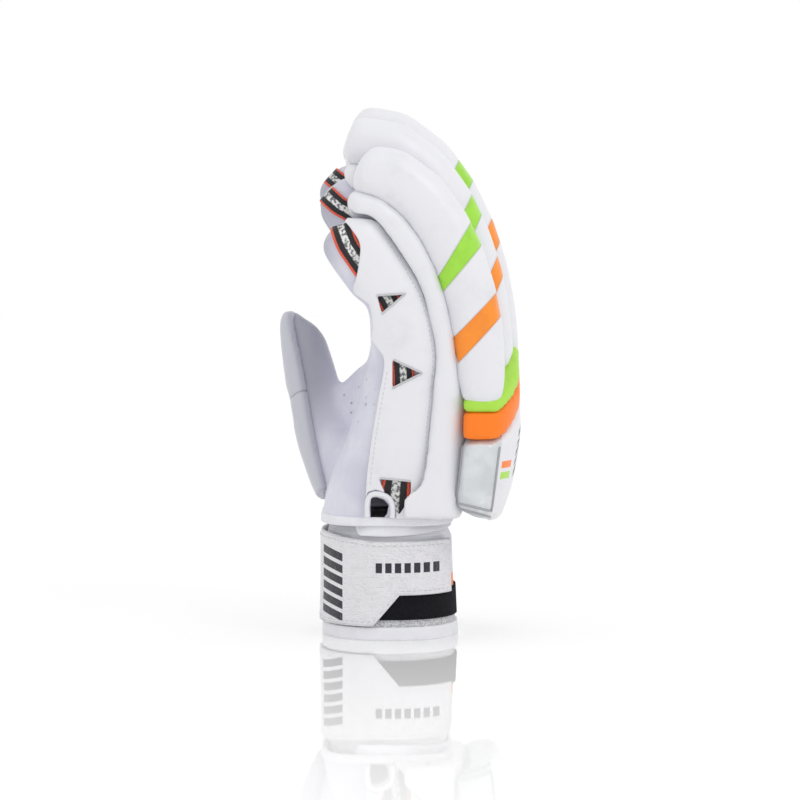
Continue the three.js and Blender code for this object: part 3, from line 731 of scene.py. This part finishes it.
def strap_finish():
    """Padded white cloth with plain slanted bars at the palm and a row of small bars on the tab."""
    f, shade = cloth_finish("strap_cloth", STRAP_WHITE, weave=1.0, bump=0.3, dark=0.92, crinkle=0.7)
    fleck = f.rise(f.noise(1.1, 3, 0.7), 0.42, 0.62)
    # The flecks are the cloth's own; laying them thicker towards the tab, from X -22 to 0, is painted shade
    shade = f.mix(shade, STRAP_FLECK_AND_SHADE, fleck * (f.rise(f.x, -22, 0) * 0.25 + 0.12))
    lean = f.z + (f.x + 40) * 0.35
    rows = 1 - f.rise(abs(f.z.worked("PINGPONG", lean - 12.0, 6.0) - 3.0), 1.9, 2.1)
    wide = 1 - f.rise(abs(f.y + 38), 9.5, 9.8)
    mark = rows * wide * (1 - f.rise(f.x, -28.6, -28.3)) * f.span(lean, 12, 12.4, 47.6, 48)
    step = f.x.worked("PINGPONG", f.x + 15, 2.4)
    small = 1 - f.rise(step, 1.5, 1.7)
    small = small * f.span(f.z, 34.0, 34.2, 39.0, 39.2) * f.span(f.x, -12.7, -12.5, 20.8, 21)
    small = small * (1 - f.rise(f.y, -40, -39))
    shade = f.mix(shade, NAVY, mark.worked("MAXIMUM", mark, small))
    return f.paint(shade, f.noise(3) * 0.2 + 0.65)


def towel_finish():
    """White elastic with upright ribs at the neck, and grey towelling lower down, with a plain orange mark behind."""
    f = Finish("towelling", 0.9, Sheen_Weight=0.4)
    loops = f.noise(0.9, 4, 0.7)
    grey = f.mix(TOWEL_DARK, TOWEL_LIGHT, f.rise(loops, 0.35, 0.65))
    high = f.rise(f.z, 20.5, 21.5)
    ribs = f.noise(7, 3, 0.5, stretch=(0.12, 0.12, 1.6))
    white = f.mix(RIB_DARK, RIB_LIGHT, f.rise(ribs, 0.3, 0.7))
    color = f.mix(grey, white, high)
    behind = f.rise(f.x, 19, 19.5) * f.span(f.z, 22, 22.4, 30.6, 31.0)
    color = f.mix(color, BLOCK_ORANGE, behind)
    f.relief(loops * (1 - high) + ribs * high * 2, 1.2, 0.8)
    return f.paint(color)


def pile_finish():
    f = Finish("fastening_pile", 0.95, Specular_IOR_Level=0.15)
    loops = f.noise(0.8, 4, 0.7)
    f.relief(loops, 0.7, 0.8)
    return f.paint(f.mix(BLACK, PILE_LIGHT, f.rise(loops, 0.5, 0.8)))


def thread_finish(name, color, rough=0.6):
    f = Finish(name, rough)
    twist = f.x + f.y + f.z
    ridges = twist.worked("PINGPONG", twist, 0.35)
    f.relief(ridges, 0.4, 0.7)
    return f.paint(f.mix(color, [c * 0.75 for c in color], ridges))


def plain_coated(name, color):
    rough = 0.36
    f, shade = coated(name, color, rough, Specular_IOR_Level=0.3)
    return f.paint(shade, f.noise(4, 3) * 0.14 + rough - 0.04)


LEATHER_LOOK = leather_finish()
WHITE_LOOK = white_finish()
# The thumb pads are the same white padding, painted darker as painted shade
THUMB_PAD_SHADED_LOOK = white_finish("thumb_padding_painted_shade", THUMB_PAD_PAINTED_SHADE)
THREAD_LOOK = thread_finish("white_thread", THREAD_WHITE)
PIPING_LOOK = thread_finish("grey_piping", PIPING_GREY, 0.45)

LEATHER_NODES = ("palm_body", "stall_little", "stall_ring", "stall_middle", "stall_index", "thumb_stall")
WRIST_RIM = 58.05
WRIST_FALL = 12
SLIT_PLUG_MIDDLE = Vector((-10, -52.8, 69))
SLIT_PLUG_SIZE = Vector((18, 2.2, 20))

# Where the little finger's palm side is filled out, and by how much
LITTLE_FULLNESS = 1.6
LITTLE_DEPTH = -38
LITTLE_DEPTH_FADE = 8
LITTLE_SIDE = -12
LITTLE_SIDE_FADE = 18
LITTLE_MIDDLE = 194
LITTLE_REACH = 21


def hand_form():
    """The hand's outer skin as one closed form, which the leather and the layers sewn to it are made from."""
    bm = taken(*LEATHER_NODES)
    rim = [f for f in bm.faces if all(v.co.z < WRIST_RIM * MM for v in f.verts)]
    bmesh.ops.delete(bm, geom=rim, context="FACES")
    edges = [e for e in bm.edges if e.is_boundary]
    down = bmesh.ops.extrude_edge_only(bm, edges=edges)["geom"]
    low = [v for v in down if isinstance(v, bmesh.types.BMVert)]
    bmesh.ops.translate(bm, verts=low, vec=Z_AXIS * -WRIST_FALL * MM)
    bmesh.ops.holes_fill(bm, edges=[e for e in bm.edges if e.is_boundary])
    plug = Matrix.Translation(SLIT_PLUG_MIDDLE * MM) @ Matrix.Diagonal((*(SLIT_PLUG_SIZE * MM), 1))
    bmesh.ops.create_cube(bm, size=1, matrix=plug)
    form = settle(placed("hand_form", bm), "REMESH", mode="VOXEL", voxel_size=HAND_VOXEL * MM)
    softened(cut(form, prism(PALM_SIDE)), voxel=HAND_VOXEL, rounds=40, swell=1.1)
    for v in form.data.vertices:
        x, y, z = v.co / MM
        near = clamped((LITTLE_DEPTH - y) / LITTLE_DEPTH_FADE) * clamped((LITTLE_SIDE - x) / LITTLE_SIDE_FADE)
        v.co.x -= LITTLE_FULLNESS * near * max(1 - ((z - LITTLE_MIDDLE) / LITTLE_REACH) ** 2, 0) * MM
    return form


# The glove's edge on the palm's side, from the wrist up round the thumb to the fingertips, and what lies outside it
PALM_SIDE = [
    (-37.9, 55), (-39.3, 62), (-42.1, 70.2), (-45.7, 80.6), (-49.9, 90.9), (-53.0, 98.2), (-54.0, 111.6),
    (-56.1, 124.1), (-58.7, 132.3), (-60.7, 139.6), (-61.2, 149.9), (-60.7, 162.3), (-59.2, 166.4), (-55.0, 167.0),
    (-49.9, 162.9),
    (-43.7, 159.0), (-39.3, 153.0), (-36.9, 145.8), (-34.9, 139.6), (-32.1, 129.7), (-30.7, 128.4), (-25.0, 133.4),
    (-19.9, 139.6), (-15.7, 149.9), (-14.2, 158.2), (-14.9, 165.4), (-16.2, 170.6), (-20.9, 174.2), (-28.2, 178.8),
    (-33.6, 184.6), (-37.9, 192.6), (-39.6, 201.7), (-39.4, 214.1), (-40.6, 222.4), (-41.1, 228.0), (-37.4, 233.7),
    (-33.3, 237.9), (-30.7, 242.0), (-30.7, 262), (-95, 262), (-95, 55),
]
hand = hand_form()
hand_surface = tree_of(hand)


def opened(piece):
    """Opens the closed hand at the wrist and gives it a wall."""
    bm = bmesh.new()
    bm.from_mesh(piece.data)
    whole = bm.verts[:] + bm.edges[:] + bm.faces[:]
    bmesh.ops.bisect_plane(bm, geom=whole, plane_co=Z_AXIS * HAND_FOOT * MM, plane_no=Z_AXIS, clear_inner=True)
    bm.to_mesh(piece.data)
    bm.free()
    return settle(piece, "SOLIDIFY", thickness=LEATHER_WALL * MM, offset=-1.0)


# The slit at the wrist: its hole, the line of its binding, and the room for both in the panel
SLIT_HOLE = [
    (-15.4, 60.6), (-15.6, 67.5), (-15.2, 72.6), (-12.2, 72.9), (-8.6, 71.6), (-6.2, 69.0), (-7.0, 64.6), (-9.6, 61.6),
    (-14.0, 60.0),
]
SLIT_LOOP = [
    (-17.0, 61.0), (-17.2, 69.0), (-16.0, 73.2), (-13.2, 74.6), (-8.6, 73.8), (-5.4, 71.4), (-4.2, 67.5), (-4.4, 61.4),
]
SLIT_RIM = [
    (-18.6, 58.0), (-18.9, 70.0), (-16.6, 75.6), (-12.6, 76.6), (-6.4, 74.6), (-3.4, 70.2), (-2.4, 64.0), (-3.2, 58.0),
]
leather = opened(twin(hand, "leather_hand"))
cut(leather, prism(SLIT_HOLE, SLIT_DEPTHS))
finished(leather, LEATHER_LOOK, "leather", *LEATHER_NODES)

# The white panel on the little finger's side: its two edges, its windows and the tape below it
PALM_EDGE = [
    (-17.9, 62), (-17.6, 80), (-15.1, 101), (-11.6, 122), (-8.5, 141.5), (-12.5, 149), (-17.0, 156), (-18.0, 168),
    (-21.5, 173), (-24.4, 178), (-22.6, 184.5), (-21.2, 193), (-20.9, 201.6), (-25.6, 209.4), (-28.6, 212.8),
]
BACK_EDGE = [
    (13.1, 62), (14.2, 88), (14.7, 107), (16.9, 124), (18.6, 142), (18.2, 152), (16.0, 164), (13.6, 173.5), (10.0, 181),
    (2.8, 194), (-6.6, 208), (-13.8, 213.4), (-27.2, 214.6),
]
WINDOWS = [
    [(-11.2, 82.4), (5.0, 80.9), (4.9, 75.5), (2.9, 69.9), (-0.9, 64.2), (-6, 70)],
    [(-4.3, 142.7), (-4.3, 128.2), (10.4, 135.9)],
    [(-12.0, 174.8), (1.6, 175.7), (-9.7, 166.2)],
]


def panel_outline():
    palm = [(p.x, p.y) for p in smooth_path([(x, z, 0) for x, z in PALM_EDGE], 3)]
    back = [(p.x, p.y) for p in smooth_path([(x, z, 0) for x, z in BACK_EDGE], 4)]
    return palm + back[::-1]


TAPE_LINE = [
    (-3.6, 64.0), (-2.6, 79), (-0.2, 95), (0.7, 110), (1.15, 135.4), (-0.9, 157), (-6.7, 173.8), (-17.7, 187.5),
    (-22.7, 194.4), (-27.4, 201.8), (-31.1, 213.2),
]


def tape_width(z):
    """The side tape's width, which grows towards the wrist."""
    return TAPE_WIDTH + TAPE_WIDENING * clamped((TAPE_WIDENS_BELOW - z) / TAPE_WIDENS_OVER)


def tape_room_width(z):
    return tape_width(z) + TAPE_ROOM_WIDER


tape_room = ribbon(
    "tool", hand_surface, TAPE_LINE[:-1], tape_room_width, TAPE_WALL + TAPE_ROOM_DEEPER, lift=-TAPE_ROOM_SINK)
side_tape = ribbon("side_tape_cover", hand_surface, TAPE_LINE, tape_width, TAPE_WALL)
cut(side_tape, prism(SLIT_RIM, WINDOW_DEPTHS))
TAPE_LOOK = tape_finish()
finished(side_tape, TAPE_LOOK, "striped_tape", "side_tape")

panel = swollen(twin(hand, "side_panel_cover"), LAYER_GAP + PANEL_WALL)
cut(panel, prism(panel_outline(), PANEL_DEPTHS), "INTERSECT")
cut(panel, prism(PALM_SIDE, NEAR_HALF))
cut(panel, swollen(twin(hand, "tool"), LAYER_GAP))
panel_skin = tree_of(panel)
cut(panel, tape_room)
for window in WINDOWS:
    cut(panel, prism(window, WINDOW_DEPTHS))
cut(panel, prism(SLIT_RIM, WINDOW_DEPTHS))
softened(panel, voxel=0.5, rounds=6)
finished(panel, WHITE_LOOK, "white_padding", "side_panel", fill=0.5)

WINDOW_RIMS = [
    [(-10.6, 82.6), (-3, 81.9), (4.6, 81.1)],
    [
        (-3.4, 142.5), (-1.0, 141.4), (3.6, 139.2), (8.2, 137.0), (10.6, 135.9), (8.2, 134.6), (3.6, 132.3),
        (-1.0, 129.9), (-4.4, 128.1),
    ],
    [
        (-12.3, 175.2), (-8, 175.5), (-3, 175.8), (1.0, 176.1), (2.2, 176.0), (0.8, 174.9), (-3.0, 171.6),
        (-7.0, 168.2), (-9.8, 165.7),
    ],
]
rims = piped("window_stitching", panel_skin, WINDOW_RIMS, WINDOW_CORD, lift=0.15, spacing=0.8)
finished(rims, thread_finish("silver_thread", SILVER_THREAD, 0.45), "white_padding")

# Padding on the back, and the rolls
BACK_FOOT = [(29.5, 50), (30.3, 66), (31.5, 73.5), (80, 73.5), (80, 50)]
back_pad = cut(placed("back_pad_cover", taken("back_pad")), prism(BACK_FOOT))
softened(back_pad, voxel=1.3, rounds=24, swell=1.0)
finished(back_pad, WHITE_LOOK, "white_padding", "back_pad", fill=0.6)

# The lines round the green and the orange band of each roll
ROLL_BANDS = {
    "little": (
        [((41.0, 199.0), (20.3, 174.4)), ((20.3, 174.4), (18.3, 182.5)), ((18.3, 182.5), (34.2, 208.5))],
        [((49.2, 161.9), (28.3, 139.5)), ((28.3, 139.5), (25.1, 151.3)), ((25.1, 151.3), (47.0, 174.0))],
    ),
    "ring": (
        [((42.2, 215.9), (38.4, 207.6)), ((32.9, 216.9), (36.9, 224.9))],
        [((51.2, 181.0), (48.5, 175.0)), ((46.0, 186.1), (49.0, 192.9))],
    ),
    "middle": (
        [((38.6, 232.9), (36.5, 228.7)), ((29.6, 239.5), (31.6, 243.6))],
        [((50.6, 198.2), (49.2, 195.2)), ((45.2, 207.8), (46.7, 211.0))],
    ),
    "index": (
        [((42.2, 215.9), (38.4, 207.6)), ((32.9, 216.9), (36.9, 224.9))],
        [((51.2, 181.0), (48.5, 175.0)), ((46.0, 186.1), (49.0, 192.9))],
    ),
}
# What is cut off the rolls' ends towards the palm
ROLL_CORNER = [
    (-12.6, 271.8), (-17.8, 270.2), (-21.4, 266.3), (-24.5, 260.6), (-26.3, 254.9), (-28.7, 249.2), (-30.7, 243.6),
    (-60, 243), (-60, 300), (-12.6, 300),
]
NEAR_ROLL_CORNER = [
    (-14.7, 248.6), (-19.3, 244.8), (-21.9, 238.9), (-23.5, 232.7), (-25.0, 226.5), (-60, 226), (-60, 300),
    (-14.7, 300),
]
ROLL_DROP = {"little": 3.0, "ring": 1.0, "middle": 0.5, "index": 3.0}
for finger, bands in ROLL_BANDS.items():
    leftwards = [[(end, start) for start, end in band] for band in bands]
    look = striped_roll_finish(f"striped_roll_{finger}", *leftwards)
    made = placed(f"finger_roll_{finger}", taken(f"roll_{finger}"))
    cut(made, prism(NEAR_ROLL_CORNER if finger == "little" else ROLL_CORNER))
    softened(made, voxel=1.5, rounds=24, swell=1.4)
    inflated(made, voxel=3.2, slack=0.2, most=1.6)
    stretched(made, by=0, drop=ROLL_DROP[finger], hang=152)
    finished(made, look, "white_padding", f"roll_{finger}", fill=0.8)

index_panel = placed("index_panel_cover", taken("index_panel"))
softened(index_panel, voxel=0.9, rounds=24, swell=0.6)
stretched(index_panel, by=0, drop=6.5, hang=168)
finished(index_panel, WHITE_LOOK, "white_padding", "index_panel", fill=0.5)

THUMB_FOOT = Vector((-29.9, 22.0, 88.0))
THUMB_ALONG = Vector((-0.229, 0.362, 0.904)).normalized()
THUMB_OUT = Vector((-0.6, 0.8, 0.0))
THUMB_SIDE = THUMB_ALONG.cross(THUMB_OUT).normalized()
THUMB_PAD_WALL = 3.8
THUMB_PAD_SINK = 0.5
THUMB_PAD_INWARDS = 1.5
THUMB_PAD_HALF = 19.0
THUMB_PAD_REACH = 40.0
THUMB_PADS = {"thumb_pad_base": (-20.0, 34.0), "thumb_pad_tip": (34.3, 95.0)}


def thumb_zone(low, high):
    """The space over the back of the thumb, between two distances along it."""
    out = THUMB_SIDE.cross(THUMB_ALONG)
    bm = bmesh.new()
    turn = Matrix((out, THUMB_SIDE, THUMB_ALONG)).transposed().to_4x4()
    middle = THUMB_FOOT + THUMB_ALONG * (low + high) / 2 + out * (THUMB_PAD_REACH / 2 - THUMB_PAD_INWARDS)
    size = Matrix.Diagonal((THUMB_PAD_REACH * MM, 2 * THUMB_PAD_HALF * MM, (high - low) * MM, 1))
    bmesh.ops.create_cube(bm, size=1, matrix=Matrix.Translation(middle * MM) @ turn @ size)
    return placed("tool", bm)


for part, (low, high) in THUMB_PADS.items():
    pad = swollen(twin(hand, f"{part}_cover"), THUMB_PAD_WALL)
    cut(pad, thumb_zone(low, high), "INTERSECT")
    cut(pad, prism(PALM_SIDE))
    cut(pad, swollen(twin(hand, "tool"), -THUMB_PAD_SINK))
    softened(pad, voxel=0.8, rounds=14, swell=0.5)
    finished(pad, THUMB_PAD_SHADED_LOOK, "white_padding", part, fill=0.6)

# The block and bent rolls above the cuff
block = placed("wrist_block_cover", taken("wrist_block"))
softened(block, voxel=1.0, rounds=6, swell=0.2)
inflated(block, voxel=2.6, slack=0.2, most=0.9)
stretched(block, drop=2.6)
block_skin = tree_of(block)
finished(block, block_finish(), "silver_padding", "wrist_block", fill=0.6)
orange_roll = placed("chevron_orange_cover", taken("chevron_orange"))
softened(orange_roll, voxel=0.9, rounds=8, swell=0.3)
stretched(inflated(orange_roll, voxel=2.0, slack=0.1, most=0.9))
finished(orange_roll, plain_coated("orange_padding", BLOCK_ORANGE), "orange_padding", "chevron_orange", fill=0.8)
green_roll = placed("chevron_green_cover", taken("chevron_green"))
softened(green_roll, voxel=0.8, rounds=8, swell=0.3)
stretched(inflated(green_roll, voxel=1.8, slack=0.1, most=0.8))
finished(green_roll, plain_coated("green_padding", BLOCK_GREEN), "green_padding", "chevron_green", fill=0.8)

BLOCK_PIPES = [
    [
        (31.4, 98.6), (30.6, 90), (29.2, 78), (28.2, 71.0), (29.0, 69.8), (36, 68.2), (44.6, 66.2), (45.8, 66.8),
        (47.2, 76), (48.7, 88), (50.0, 98.4),
    ],
    [(28.6, 67.4), (36, 65.4), (45.0, 63.0)],
]
pipes = piped("block_piping", block_skin, BLOCK_PIPES, BLOCK_CORD, lift=0.1, spacing=1.0)
far_pipes = twin(pipes, "far_pipes")
for v in far_pipes.data.vertices:
    v.co.y = 2 * WRIST_Y * MM - v.co.y
far_pipes.data.flip_normals()
pipes = joined("block_piping", [pipes, far_pipes])
finished(pipes, PIPING_LOOK, "silver_padding")

# Tapes beside the other fingers, with their cut length in metres and the depth at which each finger starts
FINGER_TAPES = {
    "ring": {
        "cut": 0.0512,
        "depth": -36.6,
        "line": [
            (-40.5, 229.5), (-36.0, 225.0), (-31.0, 220.6), (-26.0, 217.6), (-20.0, 212.0), (-14.0, 203.0),
            (-9.0, 192.0),
        ],
    },
    "middle": {
        "cut": 0.0520,
        "depth": -11.9,
        "line": [
            (-41.5, 242.0), (-37.0, 237.3), (-32.0, 232.9), (-27.0, 229.5), (-21.0, 222.0), (-15.0, 212.0),
            (-9.0, 200.0),
        ],
    },
    "index": {
        "cut": 0.0566,
        "depth": 12.2,
        "between": 13.1,
        "line": [(-33.5, 226.0), (-30.0, 220.5), (-25.0, 212.5), (-19.0, 202.0), (-12.5, 190.0), (-9.5, 184.0)],
    },
}
for finger, tape in FINGER_TAPES.items():
    laid = ribbon(
        f"tape_{finger}_cover", hand_surface, tape["line"], lambda z: FINGER_TAPE_WIDTH, FINGER_TAPE_WALL,
        depths=(tape["depth"], tape["depth"] + FINGER_TAPE_REACH), between=tape.get("between"))
    finished(laid, TAPE_LOOK, "striped_tape", f"tape_{finger}")

# Hem, pull loop and cuff
BINDING_LOOK, binding_shade = cloth_finish("white_binding", BINDING_WHITE, weave=0.5, bump=0.12, dark=0.92)
BINDING_LOOK = BINDING_LOOK.paint(binding_shade)
loop_line = traced(panel_skin, SLIT_LOOP, 1.0)
loop = cord_along("slit_binding_cover", [at for at, _ in loop_line], LOOP_CORD)
finished(loop, BINDING_LOOK, "white_binding", "slit_binding")

band = sleeve("wrist_band_cover", 0, FULL_TURN, lambda t: BAND_LOW, lambda t: BAND_HIGH, BAND_WALL, out=-BAND_WALL)
finished(band, towel_finish(), "elastic", "wrist_band")
binding = placed("cuff_binding_cover", taken("cuff_binding"))
softened(binding, voxel=0.6, rounds=6, swell=0.3)
for v in binding.data.vertices:
    v.co.z *= BINDING_SQUASH
finished(binding, BINDING_LOOK, "white_binding", "cuff_binding")


def side_x(turn):
    """The X in the photograph of a turn round the cuff, halfway up it."""
    return cuff_point(turn, 30, 2).x / MM - VIEW_X


def turn_at(x):
    """The turn of the near side at which the cuff has an X of the photograph."""
    low, high = math.pi, FULL_TURN
    for _ in range(30):
        middle = (low + high) / 2
        low, high = (middle, high) if side_x(middle) < x else (low, middle)
    return (low + high) / 2


def level_at(heights, x):
    """A height read from a table of pairs of X and height."""
    before = max((pair for pair in heights if pair[0] <= x), default=heights[0])
    after = min((pair for pair in heights if pair[0] > x), default=heights[-1])
    span = after[0] - before[0]
    return before[1] + (after[1] - before[1]) * ((x - before[0]) / span if span > 0 else 0)


def round_cuff(start, end, height, out):
    """Points round the cuff, a stitch apart, with the way out from it."""
    count = round(abs(end - start) * (CUFF_WIDTH / 2) / STRAP_STITCH_PITCH)
    found = []
    for i in range(count + 1):
        turn = start + (end - start) * i / count
        at = cuff_point(turn, height(turn), out)
        found.append((at, (cuff_point(turn, height(turn), out + 1) - at).normalized()))
    return found


# The hem, a ring round the wrist end with a flap that slants down to the strap
HEM_FOOT = [(-22.5, 55.8), (-20.0, 52.4), (-8, 52.2), (4, 52.6), (16, 53.4), (28, 54.6)]
hem_ring = softened(placed("hem_ring", taken("body_hem")), voxel=0.5, rounds=6, swell=0.5)
hem_flap = sleeve(
    "hem_flap", turn_at(HEM_START), HEM_END_TURN, lambda t: level_at(HEM_FOOT, side_x(t)), lambda t: HEM_TOP, HEM_WALL,
    out=HEM_WALL, rows=8, columns=120, puff=lambda t, w: HEM_PUFF * math.sin(math.pi * w))
hem = joined("body_hem_cover", [hem_ring, hem_flap])
finished(hem, BINDING_LOOK, "white_binding", "body_hem")


def strap_foot(turn):
    x = side_x(turn)
    if turn < math.pi or x < SLOPE_START:
        return STRAP_LOW
    return STRAP_LOW + (TAB_LOW - STRAP_LOW) * min((x - SLOPE_START) / (SLOPE_END - SLOPE_START), 1)


def patch_top(turn):
    if turn > FULL_TURN:
        return PATCH_STEP
    share = clamped((side_x(turn) - PATCH_STEP_X) / PATCH_STEP_LENGTH)
    return PATCH_HIGH - (PATCH_HIGH - PATCH_STEP) * share


def strap_top(turn):
    return STRAP_HIGH + STRAP_RISE * clamped((STRAP_RISE_X - side_x(turn)) / STRAP_RISE_LENGTH)


patch = sleeve(
    "strap_patch_cover", turn_at(PATCH_START), PATCH_END_TURN, lambda t: PATCH_LOW, patch_top, PATCH_WALL,
    out=LAYER_GAP)
finished(patch, pile_finish(), "fastening_patch", "strap_patch")
strap = sleeve(
    "wrist_strap_cover", STRAP_START_TURN, turn_at(TAB_END), strap_foot, strap_top, STRAP_WALL, out=STRAP_OUT, rows=24,
    columns=220)
finished(strap, strap_finish(), "strap_cloth", "wrist_strap", fill=0.3)

ROW_TURNS = (STRAP_START_TURN + 0.05, turn_at(TAB_END - 2.4))
rows = [
    round_cuff(*ROW_TURNS, lambda t: strap_top(t) - STITCH_INSET, STITCH_OUT),
    round_cuff(*ROW_TURNS, lambda t: strap_foot(t) + STITCH_INSET, STITCH_OUT),
]
strap_stitches = stitched("strap_stitches", rows, **STRAP_STITCH)
finished(strap_stitches, THREAD_LOOK, "strap_cloth")
PANEL_ROWS = [
    [
        (11.2, 67), (12.4, 88), (12.8, 107), (14.8, 124), (16.1, 142), (15.2, 152), (12.8, 164), (10.4, 172.5),
        (6.8, 180), (-0.3, 192.6), (-9.0, 206),
    ],
    [(-15.6, 80), (-13.1, 101), (-9.6, 122), (-6.7, 138)],
]
panel_lines = [traced(panel_skin, row, PANEL_STITCH_PITCH, lift=0.05) for row in PANEL_ROWS]
panel_stitches = stitched("panel_stitches", panel_lines, **PANEL_STITCH)
finished(panel_stitches, THREAD_LOOK, "white_padding")

bpy.data.objects.remove(hand)


# Floor, light and camera
def floor():
    """A glossy white surface whose reflection fades towards the front."""
    bm = bmesh.new()
    bmesh.ops.create_grid(bm, x_segments=1, y_segments=1, size=FLOOR_HALF)
    made = placed("floor", bm)
    f = Finish("pale_floor", 0.9, Specular_IOR_Level=0.0)
    made.data.materials.append(f.paint(FULL_WHITE))
    mirror = f.node("ShaderNodeBsdfGlossy", {}, {"Roughness": 0.02, "Color": FULL_WHITE})
    share = f.rise(f.y, MIRROR_GONE, MIRROR_FULL) * FLOOR_MIRROR
    both = f.node("ShaderNodeMixShader", {}, {0: share, 2: mirror})
    f.tree.links.new(f.surface.outputs[0], both.socket.node.inputs[1])
    f.tree.links.new(both.socket, f.tree.nodes["Material Output"].inputs["Surface"])
    return made


def lamp(name, at, target, size, power):
    light = bpy.data.lights.new(name, "AREA")
    light.shape = "DISK"
    light.size = size
    light.energy = power
    made = bpy.data.objects.new(name, light)
    bpy.context.scene.collection.objects.link(made)
    made.location = at
    made.rotation_mode = "QUATERNION"
    made.rotation_quaternion = (Vector(target) - Vector(at)).to_track_quat("-Z", "Y")


floor()
lamp("key", LAMP_PLACE, LAMP_AIM, LAMP_SIZE, LAMP_POWER)

world = bpy.data.worlds.new("studio")
bpy.context.scene.world = world
world.use_nodes = True
backdrop = world.node_tree.nodes["Background"]
backdrop.inputs["Color"].default_value = FULL_WHITE
backdrop.inputs["Strength"].default_value = 1.0
bpy.context.scene.view_settings.view_transform = "Standard"

camera_data = bpy.data.cameras.new("camera")
camera_data.lens = camera_data.sensor_width * VIEW_DISTANCE / VIEW_WIDTH
camera = bpy.data.objects.new("camera", camera_data)
bpy.context.scene.collection.objects.link(camera)
camera.location = VIEW_FROM * MM
camera.rotation_mode = "QUATERNION"
camera.rotation_quaternion = (-VIEW_BACK).to_track_quat("-Z", "Y")
bpy.context.scene.camera = camera
